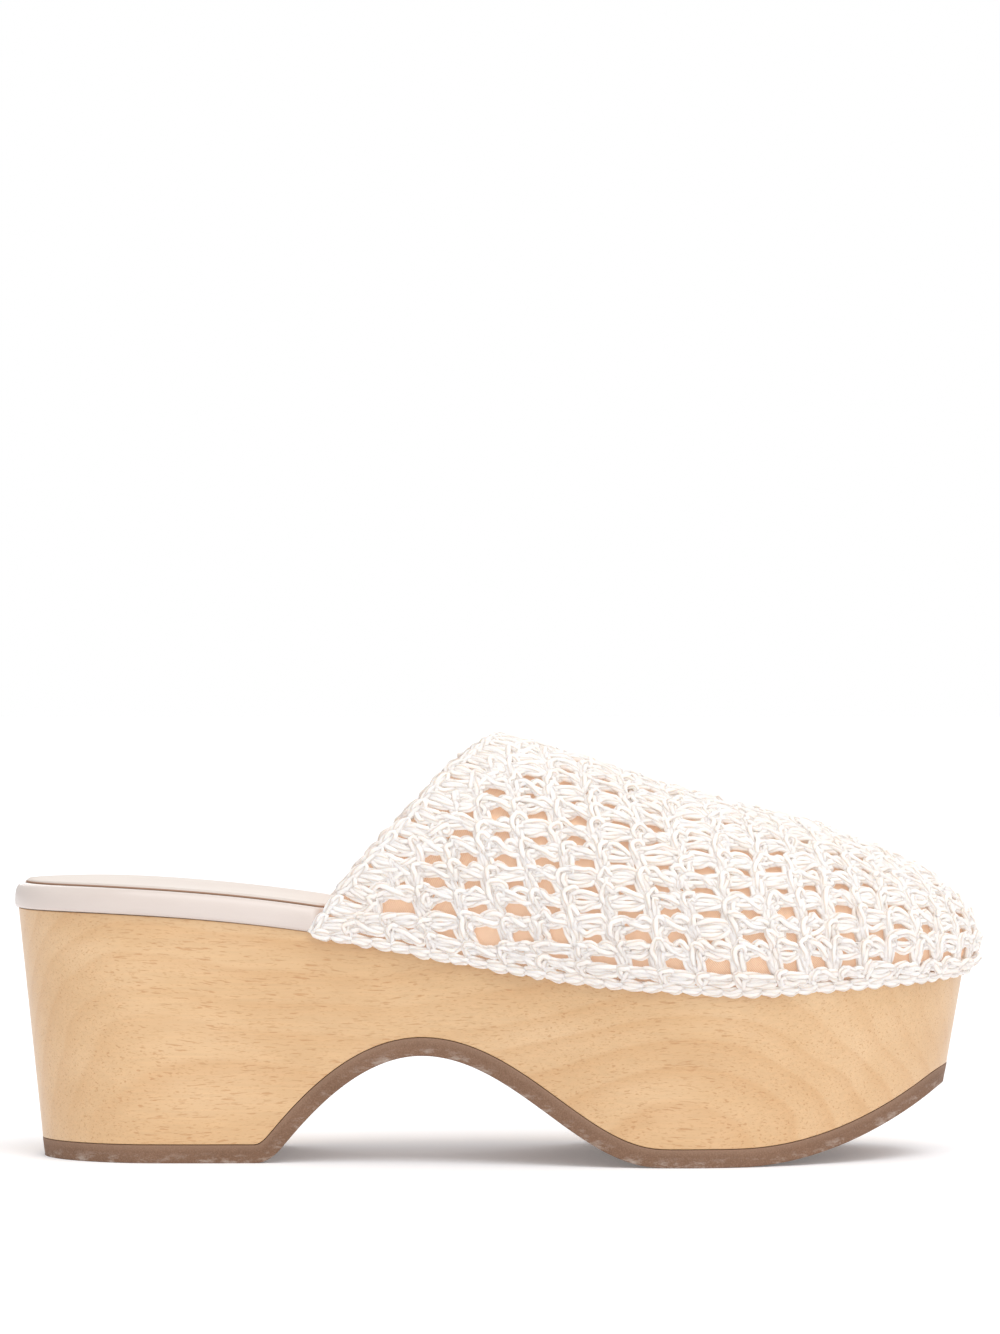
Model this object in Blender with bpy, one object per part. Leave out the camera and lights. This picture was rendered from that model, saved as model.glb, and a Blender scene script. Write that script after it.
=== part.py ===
"""Crochet clog, right shoe: a wooden platform sole with an arch, a rubber outsole,
a leather footbed with its sock, and a hollow crochet upper that is open at the heel.

The shoe points along +X, its outer side faces -Y, and it stands on the plane Z = 0.
"""

import math

import bmesh
import bpy
import numpy as np

# Driving dimensions of the sole, in metres
SOLE_LENGTH = 0.2600
BALL_WIDTH = 0.0955
HEEL_HEIGHT = 0.0680
BALL_HEIGHT = 0.0468
TOE_RISE = 0.0033
HEEL_RAKE = 0.0071
TOE_RAKE = 0.0086
SIDE_TAPER = 0.0020
HEEL_ROUND = 0.0338
TOE_ROUND = 0.0780

# Driving dimensions of the underside
HEEL_BASE = 0.0665
ARCH_HEIGHT = 0.0294
TOE_SPRING = 0.0205
OUTSOLE_THICKNESS = 0.0050

# Driving dimensions of footbed and sock
FOOTBED_THICKNESS = 0.0076
RIM_PROUD = 0.0010
RIM_ROUND = 0.0016
SOCK_INSET = 0.0030
SOCK_THICKNESS = 0.0012
HEEL_DISH = 0.0010
RIM_TUCK_LENGTH = 0.00416
RIM_TUCK_LEAD = 0.00078

# Driving dimensions of the upper
INSTEP_HEIGHT = 0.0626
TOE_BOX_HEIGHT = 0.0338
WALL = 0.0030
HEM_PROUD = 0.0020
BAND_WIDTH = 0.0096
BAND_RISE = 0.0006
DIMPLE_DEPTH = 0.0018
COLUMN_PITCH = 0.0112
ROW_PITCH = 0.0078

# Clearances
FIT_GAP = 0.0003
UPPER_CLEARANCE = 0.0010

# Places along the sole, as shares of its length
ARCH_TOP_PLACE = 0.425
TREAD_START_PLACE = 0.690
TREAD_END_PLACE = 0.770
UPPER_START_PLACE = 0.3135
THROAT_PLACE = 0.508
TOE_CENTRE_PLACE = 0.923

# Powers, slopes and shares of the shapes
ARCH_BACK_POWERS = (1.95, 1.10)
ARCH_FRONT_POWER = 1.95
SPRING_POWER = 2.1
TOE_POWER = 2.10
THROAT_SLOPE = -0.29
TOE_SLOPE = -0.39
COLLAR_BOW = 0.50
FULLNESS = 0.90
RIDGE_SHIFT = 0.030
DISH_SHOULDER = 0.75

# Outline of the sole from above: the axis and half the width, as shares of the ball's width
PLAN = {
    "place": (0.00, 0.15, 0.30, 0.42, 0.54, 0.66, 0.75, 0.88, 1.00),
    "axis": (0.000, 0.000, -0.010, -0.025, -0.028, -0.012, 0.002, 0.034, 0.075),
    "half": (0.325, 0.338, 0.325, 0.336, 0.402, 0.482, 0.500, 0.470, 0.430),
}

# Top of the wood: the heel's drop to the ball, and the rise from the ball to the toe
TOP_LINE = {
    "place": (0.00, 0.09, 0.17, 0.25, 0.32, 0.39, 0.45, 0.55, 0.67, 0.76, 0.88, 1.00),
    "drop": (1.000, 0.985, 0.930, 0.840, 0.730, 0.585, 0.450, 0.245, 0.080, 0.008, 0.000, 0.000),
    "rise": (0.000, 0.000, 0.000, 0.000, 0.000, 0.000, 0.000, 0.000, 0.000, 0.060, 0.480, 1.000),
}

# Ridge of the upper from throat to toe, and the angle by which its wall tucks in at the hem
VAMP = {
    "place": (0.00, 0.20, 0.40, 0.60, 0.80, 0.92, 1.00),
    "instep": (1.000, 0.870, 0.705, 0.540, 0.330, 0.140, 0.000),
}
TUCK = {
    "place": (0.31, 0.45, 0.65, 0.85, 1.00),
    "degrees": (9.0, 15.0, 19.0, 22.0, 30.0),
}

# Steps along the sole and along each part of the hem
HEEL_STEPS = 7
TOE_STEPS = 9
MIDDLE_STEPS = 36
HEM_STEPS = 40

# Edges sharper than this many degrees are shaded sharp
SHARP_EDGE = 35.0

MATERIALS = {
    "wood_sole": ((0.72, 0.49, 0.27), 0.50),
    "outsole": ((0.20, 0.13, 0.09), 0.55),
    "footbed": ((0.83, 0.74, 0.69), 0.45),
    "insole": ((0.88, 0.80, 0.74), 0.50),
    "upper": ((0.86, 0.82, 0.76), 0.85),
}


def read(table, column, place):
    """A table's column at a place, on a smooth curve through its rows."""
    places = np.array(table["place"])
    values = np.array(table[column])
    slopes = np.gradient(values, places)
    place = min(max(place, places[0]), places[-1])
    row = int(np.clip(np.searchsorted(places, place) - 1, 0, len(places) - 2))
    width = places[row + 1] - places[row]
    share = (place - places[row]) / width
    rising = share * share * (3.0 - 2.0 * share)
    start_pull = share * (1.0 - share) ** 2
    end_pull = share * share * (share - 1.0)
    level = values[row] * (1.0 - rising) + values[row + 1] * rising
    return level + width * (slopes[row] * start_pull + slopes[row + 1] * end_pull)


def place_of(x):
    """Share of the sole's length at an X on the wood's top."""
    return x / SOLE_LENGTH


def end_rounding(place):
    """Share of the half width that is left where the outline closes at heel and toe."""
    heel = place_of(HEEL_ROUND)
    toe = place_of(TOE_ROUND)
    if place < heel:
        inward = 1.0 - place / heel
        return math.sqrt(max(0.0, 1.0 - inward * inward))
    forward = (place - (1.0 - toe)) / toe
    if forward > 0.0:
        return max(0.0, 1.0 - min(1.0, forward) ** TOE_POWER) ** (1.0 / TOE_POWER)
    return 1.0


def top_height(place):
    """Height of the wood's top above the floor."""
    drop = (HEEL_HEIGHT - BALL_HEIGHT) * read(TOP_LINE, "drop", place)
    return BALL_HEIGHT + drop + TOE_RISE * read(TOP_LINE, "rise", place)


def edge(place, height, back=0.0, front=0.0, side=0.0):
    """X and both Y values of the sole's edge at a height, grown by the given margins."""
    low_share = 1.0 - height / top_height(place)
    start = HEEL_RAKE * (1.0 - height / HEEL_HEIGHT) - back
    end = SOLE_LENGTH - TOE_RAKE * (1.0 - height / top_height(1.0)) + front
    rounding = end_rounding(place)
    half = BALL_WIDTH * read(PLAN, "half", place) - SIDE_TAPER * low_share + side
    axis = BALL_WIDTH * read(PLAN, "axis", place)
    return start + place * (end - start), axis - half * rounding, axis + half * rounding


def turning_places(length, steps):
    """Distances from an end of the sole, as shares of its length, for sections in its rounding."""
    angles = [(i + 0.5) * math.pi / 2.0 / steps for i in range(steps)]
    return [place_of(length) * (1.0 - math.cos(angle)) for angle in angles]


def sole_places():
    """Places of the sole's sections, closer together where the outline turns in."""
    heel = turning_places(HEEL_ROUND, HEEL_STEPS)
    toe = [1.0 - share for share in turning_places(TOE_ROUND, TOE_STEPS)]
    middle = np.linspace(place_of(HEEL_ROUND), 1.0 - place_of(TOE_ROUND), MIDDLE_STEPS)
    return heel + list(middle) + toe[::-1]


def underside_height(place):
    """Height of the outsole's tread: flat heel, arch, flat forefoot and toe spring."""
    heel_end = place_of(HEEL_BASE)
    if place <= heel_end or TREAD_START_PLACE <= place <= TREAD_END_PLACE:
        return 0.0
    if place < ARCH_TOP_PLACE:
        back = (ARCH_TOP_PLACE - place) / (ARCH_TOP_PLACE - heel_end)
        return ARCH_HEIGHT * (1.0 - back ** ARCH_BACK_POWERS[0]) ** ARCH_BACK_POWERS[1]
    if place < TREAD_START_PLACE:
        front = (place - ARCH_TOP_PLACE) / (TREAD_START_PLACE - ARCH_TOP_PLACE)
        return ARCH_HEIGHT * math.cos(front * math.pi / 2.0) ** ARCH_FRONT_POWER
    spring = (place - TREAD_END_PLACE) / (1.0 - TREAD_END_PLACE)
    return TOE_SPRING * spring ** SPRING_POWER


def raised_line(line, distance):
    """The underside's line moved up by a thickness, square to itself."""
    raised = []
    for i, (place, height) in enumerate(line):
        before = np.array(line[max(i - 1, 0)])
        after = np.array(line[min(i + 1, len(line) - 1)])
        here = np.array((place, height))
        normals = []
        for step in (here - before, after - here):
            run = step[0] * SOLE_LENGTH
            reach = math.hypot(run, step[1])
            if reach > 0.0:
                normals.append(np.array((-step[1], run)) / reach)
        mean = sum(normals) / len(normals)
        mean /= mean @ mean
        if i == len(line) - 1:
            mean = np.array((0.0, 1.0 / mean[1]))
        raised.append((place + mean[0] * distance / SOLE_LENGTH, height + mean[1] * distance))
    return raised


def flat_points(place, height):
    """The two edge points of a level line across the sole."""
    x, outer, inner = edge(place, height)
    return (x, outer, height), (x, inner, height)


def skin(name, rings):
    """A closed solid through rings of points, with a cap on its first and last ring."""
    mesh = bpy.data.meshes.new(name)
    build = bmesh.new()
    rows = [[build.verts.new(point) for point in ring] for ring in rings]
    count = len(rings[0])
    for row, following in zip(rows, rows[1:]):
        for i in range(count):
            j = (i + 1) % count
            build.faces.new((row[i], row[j], following[j], following[i]))
    build.faces.new(rows[0])
    build.faces.new(rows[-1])
    bmesh.ops.recalc_face_normals(build, faces=build.faces)
    build.to_mesh(mesh)
    build.free()
    return mesh


def wood_sole():
    """The wooden block: footbed line on top, arch and toe spring below, tapered edges."""
    places = sole_places()
    tread = [(place, underside_height(place)) for place in places]
    bottom = raised_line(tread, OUTSOLE_THICKNESS + FIT_GAP)
    rings = []
    for place, (low_place, low_height) in zip(places, bottom):
        low_outer, low_inner = flat_points(low_place, low_height)
        top_outer, top_inner = flat_points(place, top_height(place))
        rings.append((low_outer, low_inner, top_inner, top_outer))
    return skin("wood_sole", rings)


def outsole():
    """The rubber sheet under the wood, from the heel over the arch to the toe."""
    tread = [(place, underside_height(place)) for place in sole_places()]
    bond = raised_line(tread, OUTSOLE_THICKNESS)
    rings = []
    for (low_place, low_height), (high_place, high_height) in zip(tread, bond):
        low_outer, low_inner = flat_points(low_place, low_height)
        high_outer, high_inner = flat_points(high_place, high_height)
        rings.append((low_outer, low_inner, high_inner, high_outer))
    return skin("outsole", rings)


def rim_margin(place):
    """How far the footbed's side stands out of the wood: proud behind, inset in the upper."""
    inset = WALL - HEM_PROUD + UPPER_CLEARANCE
    share = ((UPPER_START_PLACE - place) * SOLE_LENGTH - RIM_TUCK_LEAD) / RIM_TUCK_LENGTH
    share = min(1.0, max(0.0, share))
    return -inset + (RIM_PROUD + inset) * share * share * (3.0 - 2.0 * share)


def footbed_line(place, inward, level):
    """Two points across the footbed, inward from its side and at a level over the wood."""
    margin = rim_margin(place) - inward
    front = rim_margin(1.0) - inward
    x, outer, inner = edge(place, top_height(place), RIM_PROUD - inward, front, margin)
    height = top_height(place) + level
    return (x, outer, height), (x, inner, height)


def heel_dish(place):
    """Depth of the dished heel seat, fading out before the arch."""
    return HEEL_DISH * math.cos(min(1.0, place / ARCH_TOP_PLACE) * math.pi / 2.0)


def across(outer, inner, dish):
    """Three points between two edge points, lowered into the dish of the heel seat."""
    depths = (DISH_SHOULDER * dish, dish, DISH_SHOULDER * dish)
    points = []
    for i, depth in enumerate(depths):
        share = (i + 1.0) / (len(depths) + 1.0)
        x, y, z = (a + (b - a) * share for a, b in zip(outer, inner))
        points.append((x, y, z - depth))
    return points


def footbed():
    """The padded footbed in wrapped leather, with a round rim and a seat for the sock."""
    seat = FOOTBED_THICKNESS - SOCK_THICKNESS - FIT_GAP
    turn = RIM_ROUND * (1.0 - math.sqrt(0.5))
    profile = (
        (0.0, FIT_GAP),
        (0.0, FIT_GAP + FOOTBED_THICKNESS - RIM_ROUND),
        (turn, FIT_GAP + FOOTBED_THICKNESS - turn),
        (RIM_ROUND, FIT_GAP + FOOTBED_THICKNESS),
        (SOCK_INSET, FIT_GAP + FOOTBED_THICKNESS),
        (SOCK_INSET, FIT_GAP + seat),
    )
    rings = []
    for place in sole_places():
        lines = [footbed_line(place, inward, level) for inward, level in profile]
        floor = across(lines[-1][0], lines[-1][1], heel_dish(place))
        rings.append([outer for outer, _ in lines] + floor + [inner for _, inner in reversed(lines)])
    return skin("footbed", rings)


def insole():
    """The thin leather sock, flush with the rim and a seam's width inside it."""
    inward = SOCK_INSET + FIT_GAP
    low = FOOTBED_THICKNESS - SOCK_THICKNESS + FIT_GAP
    high = FOOTBED_THICKNESS + FIT_GAP
    rings = []
    for place in sole_places():
        dish = heel_dish(place)
        low_outer, low_inner = footbed_line(place, inward, low)
        high_outer, high_inner = footbed_line(place, inward, high)
        under = [low_outer] + across(low_outer, low_inner, dish) + [low_inner]
        over = [high_outer] + across(high_outer, high_inner, dish) + [high_inner]
        rings.append(under + over[::-1])
    return skin("insole", rings)


def hem_point(side, place):
    """A point on the upper's lower edge; side is -1 for the outer side and 1 for the inner."""
    x, outer, inner = edge(place, top_height(place), HEM_PROUD, HEM_PROUD, HEM_PROUD)
    return np.array((x, outer if side < 0 else inner, top_height(place) + FIT_GAP))


def ridge_point(x):
    """A point on the ridge of the upper, also on its line carried on behind the throat."""
    throat = THROAT_PLACE * SOLE_LENGTH
    toe = TOE_CENTRE_PLACE * SOLE_LENGTH
    share = min(1.0, max(0.0, (x - throat) / (toe - throat)))
    place = place_of(max(x, throat))
    above = TOE_BOX_HEIGHT + (INSTEP_HEIGHT - TOE_BOX_HEIGHT) * read(VAMP, "instep", share)
    height = top_height(place) + above + THROAT_SLOPE * min(0.0, x - throat)
    return np.array((x, BALL_WIDTH * (read(PLAN, "axis", place_of(x)) + RIDGE_SHIFT), height))


def arch_reach(angle):
    """Share of the arch's half width at an angle, a little fuller than an ellipse."""
    return max(0.0, math.cos(angle)) ** FULLNESS


def side_point(side, x, turn):
    """A point of the upper's side: turn runs from 0 at the hem to 1 at the ridge."""
    place = place_of(x)
    tuck = math.radians(read(TUCK, "degrees", place))
    hem = hem_point(side, place)
    ridge = ridge_point(x)
    angle = -tuck + turn * (math.pi / 2.0 + tuck)
    centre = (hem[2] + ridge[2] * math.sin(tuck)) / (1.0 + math.sin(tuck))
    reach = (hem[1] - ridge[1]) / arch_reach(tuck)
    y = ridge[1] + reach * arch_reach(angle)
    return np.array((x, y, centre + (ridge[2] - centre) * math.sin(angle)))


def toe_point(side, place, turn):
    """A point of the round toe, on an arch from the hem to the toe's centre on the ridge."""
    tuck = math.radians(read(TUCK, "degrees", place))
    hem = hem_point(side, place)
    top = ridge_point(TOE_CENTRE_PLACE * SOLE_LENGTH)
    angle = -tuck + turn * (math.pi / 2.0 + tuck)
    reach_x, reach_y = (hem[:2] - top[:2]) / arch_reach(tuck)
    fall = TOE_SLOPE * reach_x
    centre = (hem[2] + top[2] * math.sin(tuck) - fall * arch_reach(tuck)) / (1.0 + math.sin(tuck))
    x = top[0] + reach_x * arch_reach(angle)
    y = top[1] + reach_y * arch_reach(angle)
    return np.array((x, y, centre + fall * arch_reach(angle) + (top[2] - centre) * math.sin(angle)))


def rib_point(side, place, turn):
    """A point of the upper on the rib that starts at a place on the hem."""
    if place >= TOE_CENTRE_PLACE:
        return toe_point(side, place, turn)
    start = UPPER_START_PLACE * SOLE_LENGTH
    throat = THROAT_PLACE * SOLE_LENGTH
    toe = TOE_CENTRE_PLACE * SOLE_LENGTH
    foot = place * SOLE_LENGTH
    beyond = max(0.0, foot - start - BAND_WIDTH) / (toe - start - BAND_WIDTH)
    head = throat + min(foot - start, BAND_WIDTH)
    head += (toe - throat - BAND_WIDTH) * beyond
    bowed = math.sin(turn * math.pi / 2.0)
    eased = (1.0 - math.cos(turn * math.pi)) / 2.0
    lean = COLLAR_BOW * bowed + (1.0 - COLLAR_BOW) * eased
    return side_point(side, foot + (head - foot) * lean, turn)


def hem_stations():
    """Ribs along the hem from the outer collar round the toe to the inner collar."""
    toe = place_of(TOE_ROUND)
    straight = np.linspace(UPPER_START_PLACE, 1.0 - toe, HEM_STEPS)
    angles = np.linspace(math.pi / 2.0, 0.0, HEM_STEPS + 1)[1:]
    places = np.concatenate((straight, 1.0 - toe * (1.0 - np.cos(angles))))
    steps = 0.0
    for side in (-1, 1):
        points = np.array([hem_point(side, place) for place in places])
        steps = steps + np.linalg.norm(np.diff(points, axis=0), axis=1) / 2.0
    lengths = np.concatenate(((0.0,), np.cumsum(steps)))
    columns = round((lengths[-1] - BAND_WIDTH) / COLUMN_PITCH)
    runs = (0.0, BAND_WIDTH / 2.0, *np.linspace(BAND_WIDTH, lengths[-1], 2 * columns + 1))
    half = list(np.interp(runs, lengths, places))
    return [(-1, place) for place in half] + [(1, place) for place in reversed(half[:-1])]


def upper():
    """One hollow wall, open at collar and underneath: rows and posts raised, gaps sunk,
    with a thicker band along the collar."""
    stations = hem_stations()
    ribs = len(stations)
    side_length = math.pi / 2.0 * (BALL_WIDTH + INSTEP_HEIGHT) / 2.0
    rows = 4 * round(side_length / (2.0 * ROW_PITCH))
    turns = np.linspace(0.0, 1.0, rows + 1)
    form = np.array([[rib_point(side, place, turn) for turn in turns] for side, place in stations])
    normals = surface_normals(form)
    outer = form.copy()
    for rib in range(ribs):
        in_band = rib < 3 or rib >= ribs - 3
        for row in range(rows + 1):
            sunk = rib % 2 == 1 and row % 2 == 1 and 3 <= rib < ribs - 3 and row > 1
            height = BAND_RISE if in_band else 0.0
            outer[rib, row] += normals[rib, row] * (height - DIMPLE_DEPTH * sunk)
    inner = form - normals * WALL

    build = bmesh.new()
    outer_grid = grid_vertices(build, outer, stations, 1)
    inner_grid = grid_vertices(build, inner, stations, 2)
    grid_faces(build, outer_grid)
    grid_faces(build, inner_grid)
    bottom_outer = [column[0] for column in outer_grid]
    bottom_inner = [column[0] for column in inner_grid]
    bridge(build, bottom_outer, bottom_inner)
    collar_outer = outer_grid[0] + outer_grid[-1][-2::-1]
    collar_inner = inner_grid[0] + inner_grid[-1][-2::-1]
    bridge(build, collar_outer, collar_inner)
    bmesh.ops.recalc_face_normals(build, faces=build.faces)
    mesh = bpy.data.meshes.new("upper")
    build.to_mesh(mesh)
    build.free()
    return mesh


def surface_normals(form):
    """Outward unit normals of the upper's form, level across the ridge."""
    along = np.gradient(form, axis=0)
    up = np.gradient(form, axis=1)
    normals = np.cross(along, up)
    ribs = len(form)
    lengths = np.linalg.norm(normals, axis=2, keepdims=True)
    normals = normals / np.maximum(lengths, 1e-12)
    near_top = normals[:, -2]
    for rib in range(ribs):
        mean = near_top[rib] + near_top[ribs - 1 - rib]
        normals[rib, -1] = mean / np.linalg.norm(mean)
    slope = np.array((-TOE_SLOPE, 0.0, 1.0))
    top = form[ribs // 2, -1]
    for rib in range(ribs):
        if np.linalg.norm(form[rib, -1] - top) < 1e-6:
            normals[rib, -1] = slope / np.linalg.norm(slope)
    return normals


def grid_vertices(build, points, stations, step):
    """Vertices of every step-th rib and row; both sides share the ridge and toe centre."""
    shared = {}
    grid = []
    for rib in range(0, len(stations), step):
        column = [build.verts.new(points[rib, row]) for row in range(0, points.shape[1] - 1, step)]
        mirror = min(rib, len(stations) - 1 - rib)
        key = "toe" if stations[rib][1] >= TOE_CENTRE_PLACE else mirror
        if key not in shared:
            shared[key] = build.verts.new(points[rib, -1])
        grid.append(column + [shared[key]])
    return grid


def grid_faces(build, grid):
    """Faces between neighbouring ribs, with triangles where they meet at one point."""
    for column, following in zip(grid, grid[1:]):
        for row in range(len(column) - 1):
            corners = [column[row], following[row], following[row + 1], column[row + 1]]
            if corners[2] is corners[3]:
                corners.pop()
            build.faces.new(corners)


def bridge(build, fine, coarse):
    """Faces between a fine edge and one with half as many steps."""
    for i in range(len(coarse) - 1):
        build.faces.new((fine[2 * i], fine[2 * i + 1], fine[2 * i + 2], coarse[i + 1], coarse[i]))


def material(name):
    """A Principled material of a sub-part's colour and roughness."""
    colour, roughness = MATERIALS[name]
    made = bpy.data.materials.new(name)
    made.use_nodes = True
    shader = made.node_tree.nodes["Principled BSDF"]
    shader.inputs["Base Color"].default_value = (*colour, 1.0)
    shader.inputs["Roughness"].default_value = roughness
    shader.inputs["Metallic"].default_value = 0.0
    return made


def centre_over_floor(objects):
    """Moves the parts so that the middle of their common box is over the origin."""
    corners = np.array([vertex.co for part in objects for vertex in part.data.vertices])
    middle = (corners.min(axis=0) + corners.max(axis=0)) / 2.0
    for part in objects:
        part.location = (-middle[0], -middle[1], 0.0)


def main():
    for item in list(bpy.context.scene.objects):
        bpy.data.objects.remove(item)
    collection = bpy.data.collections.new("crochet_clog")
    bpy.context.scene.collection.children.link(collection)
    parts = []
    for make in (wood_sole, outsole, footbed, insole, upper):
        mesh = make()
        mesh.materials.append(material(mesh.name))
        part = bpy.data.objects.new(mesh.name, mesh)
        mesh.shade_smooth()
        mesh.set_sharp_from_angle(angle=math.radians(SHARP_EDGE))
        collection.objects.link(part)
        parts.append(part)
    centre_over_floor(parts)


main()
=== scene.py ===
"""Looks of the crochet clog: wood, rubber, leather, woven lining and crocheted cotton yarn.

The crochet is laid out stitch by stitch on the upper's own form. The lowest row follows the hem,
the rows over it are level from the collar to the ball and keep their height above the hem round
the toe, and one row runs along the ridge. Every yarn is a closed loop along a smooth curve.
"""

import math

import bmesh
import bpy
import numpy as np
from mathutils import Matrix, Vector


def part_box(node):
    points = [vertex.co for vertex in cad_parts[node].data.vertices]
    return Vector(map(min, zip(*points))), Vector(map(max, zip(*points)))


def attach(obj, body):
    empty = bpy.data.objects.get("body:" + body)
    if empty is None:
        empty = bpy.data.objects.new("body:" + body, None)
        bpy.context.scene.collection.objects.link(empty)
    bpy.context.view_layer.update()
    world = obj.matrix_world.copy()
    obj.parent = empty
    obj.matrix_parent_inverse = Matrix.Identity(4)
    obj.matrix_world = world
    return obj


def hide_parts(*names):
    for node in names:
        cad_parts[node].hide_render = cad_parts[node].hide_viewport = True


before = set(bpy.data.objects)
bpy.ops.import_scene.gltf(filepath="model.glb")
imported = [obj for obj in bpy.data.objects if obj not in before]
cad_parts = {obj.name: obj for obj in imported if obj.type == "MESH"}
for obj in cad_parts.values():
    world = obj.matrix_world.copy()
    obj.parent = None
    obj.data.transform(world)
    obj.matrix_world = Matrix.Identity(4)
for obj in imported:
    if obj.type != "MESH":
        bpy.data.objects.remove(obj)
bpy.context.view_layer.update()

# Sizes of the last and sole, in metres, as the solids have them
SOLE_LENGTH = 0.2600
BALL_WIDTH = 0.0955
HEEL_HEIGHT = 0.0680
BALL_HEIGHT = 0.0468
TOE_RISE = 0.0033
HEEL_RAKE = 0.0071
TOE_RAKE = 0.0086
SIDE_TAPER = 0.0020
HEEL_ROUND = 0.0338
TOE_ROUND = 0.0780
HEEL_BASE = 0.0665
ARCH_HEIGHT = 0.0294
TOE_SPRING = 0.0205
OUTSOLE_THICKNESS = 0.0050
FOOTBED_THICKNESS = 0.0076
RIM_PROUD = 0.0010
SOCK_INSET = 0.0030
SOCK_THICKNESS = 0.0012
HEEL_DISH = 0.0010
RIM_TUCK_LENGTH = 0.00240
RIM_TUCK_LEAD = -0.00320
INSTEP_HEIGHT = 0.0626
TOE_BOX_HEIGHT = 0.0338
WALL = 0.0030
HEM_PROUD = 0.0020
BAND_WIDTH = 0.0096
FIT_GAP = 0.0003
UPPER_CLEARANCE = 0.0010
ARCH_TOP_PLACE = 0.425
TREAD_START_PLACE = 0.690
TREAD_END_PLACE = 0.770
UPPER_START_PLACE = 0.3135
THROAT_PLACE = 0.508
TOE_CENTRE_PLACE = 0.923
ARCH_BACK_POWERS = (1.95, 1.10)
ARCH_FRONT_POWER = 1.95
SPRING_POWER = 2.1
TOE_POWER = 2.10
THROAT_SLOPE = -0.29
TOE_SLOPE = -0.39
COLLAR_BOW = 0.50
FULLNESS = 0.90
RIDGE_SHIFT = 0.030

PLAN = {
    "place": (0.00, 0.15, 0.30, 0.42, 0.54, 0.66, 0.75, 0.88, 1.00),
    "axis": (0.000, 0.000, -0.010, -0.025, -0.028, -0.012, 0.002, 0.034, 0.075),
    "half": (0.325, 0.338, 0.325, 0.336, 0.402, 0.482, 0.500, 0.470, 0.430),
}
TOP_LINE = {
    "place": (0.00, 0.09, 0.17, 0.25, 0.32, 0.39, 0.45, 0.55, 0.67, 0.76, 0.88, 1.00),
    "drop": (1.000, 0.985, 0.930, 0.840, 0.730, 0.585, 0.450, 0.245, 0.080, 0.008, 0.000, 0.000),
    "rise": (0.000, 0.000, 0.000, 0.000, 0.000, 0.000, 0.000, 0.000, 0.000, 0.060, 0.480, 1.000),
}
VAMP = {
    "place": (0.00, 0.20, 0.40, 0.60, 0.80, 0.92, 1.00),
    "instep": (1.000, 0.870, 0.705, 0.540, 0.330, 0.140, 0.000),
}
TUCK = {
    "place": (0.31, 0.45, 0.65, 0.85, 1.00),
    "degrees": (9.0, 15.0, 19.0, 22.0, 30.0),
}

# Yarn, in metres: its plies, and how far the radius of a loop may be off
YARN_RADIUS = 0.00089
YARN_SPREAD = (0.93, 1.07)
BAND_YARN_SPREAD = (0.98, 1.12)
YARN_FLAT = 0.92
PLIES = 3
PLY_DEPTH = 0.15
PLY_TURN = 0.0085
YARN_STEP = 0.00086
YARN_SIDES = 9
CURVE_STEPS = 8
PLY_STARTS = 40

# Rows and columns of stitches, in metres, and in shares of a row or of a column where they lie
COLUMN_PITCH = 0.0107
COLUMN_LEAN = 0.18
COLUMN_SHIFT = 0.07
TOE_PITCH = 0.0094
TOE_PART_PLACE = 0.80
TIP_COLUMNS = 3.0
HEM_ROW = 0.0004
FIRST_ROW = 0.0036
ROW_PITCH = 0.0070
ROW_START = 0.25
TOP_ROW_GAP = 0.3
RIDGE_ROUNDING = 0.004
RIDGE_START = 0.9
RIDGE_STEPS = 400
RIDGE_CLEAR = 0.4
ROW_STEPS = 1200
SHORT_CELL = 0.45
RIB_STEPS = 4
TURN_STEPS = 72
NORMAL_STEP = 1e-4

# How far a loop's knots stray along, up and in depth, and how much of that each loop takes
KNOT_JITTER = (0.030, 0.034, 0.14)
BAR_JITTER = 1.3
CORE_JITTER = 0.9
HOOK_JITTER = 1.5
POST_JITTER = 1.2
HEM_JITTER = 0.8

# Stitches: fullness, lean and their spread; the toe's stitches lean the other way
ROPE_SHARE = 0.50
BAR_FULL = 1.48
HEM_BAR_FULL = 1.6
BAR_SPREAD = (0.90, 1.12)
BAR_TILT = 0.08
TOE_TILT = 0.20
TOE_TILT_COLUMNS = (9.0, 15.0)
BAR_DRIFT = 0.050
TILT_SPREAD = 0.090
HOOK_TILT_SPREAD = 0.40
HEM_TILT = (-0.10, 0.08)
HEM_DROP = -1.2
HEM_FULL = 2.0
BAND_PITCH = 0.0057
BAND_TILT = (0.05, 0.16)
BAND_OVERLAP = 0.30

# Collar, lining, sole, sock edge and the painted seam shade line, in metres, degrees and steps
COLLAR_INSET = -0.0003
COLLAR_HOLLOW = 0.0035
COLLAR_HOLLOW_TURN = 0.62
LINING_DEPTH = 0.0027
LINING_THICKNESS = 0.0003
LINING_INSET = 0.0012
LINING_TURNS = 48
LINING_MERGE = 0.00003
LINING_SPECK = 0.00001
TREAD_ROUND = 0.0036
BOND_GAP = 0.0001
WOOD_SOFT = 0.0003
RUBBER_SOFT = 0.0004
BLOCK_SHARP = 50.0
BLOCK_LEVELS = (0.0, 0.05, 0.1, 0.9, 0.95, 1.0)
SOCK_SIDE_DROP = 0.0003
SOCK_TURN = 0.0007
SOCK_CROWN = 0.0001
EDGE_LINE = 0.00042
EDGE_OUT = 0.0002
EDGE_DROP = 0.00045
SOLID_STEPS = (7, 36, 9)
BLOCK_STEPS = (24, 180, 30)
FOOTBED_STEPS = (24, 120, 30)

# Camera of the photograph, in metres, degrees and millimetres
CAMERA_PLACE = (0.000206, -1.8, 0.156)
CAMERA_PITCH = -0.70
CAMERA_LENS = 176.67
SENSOR = 36.0

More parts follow.
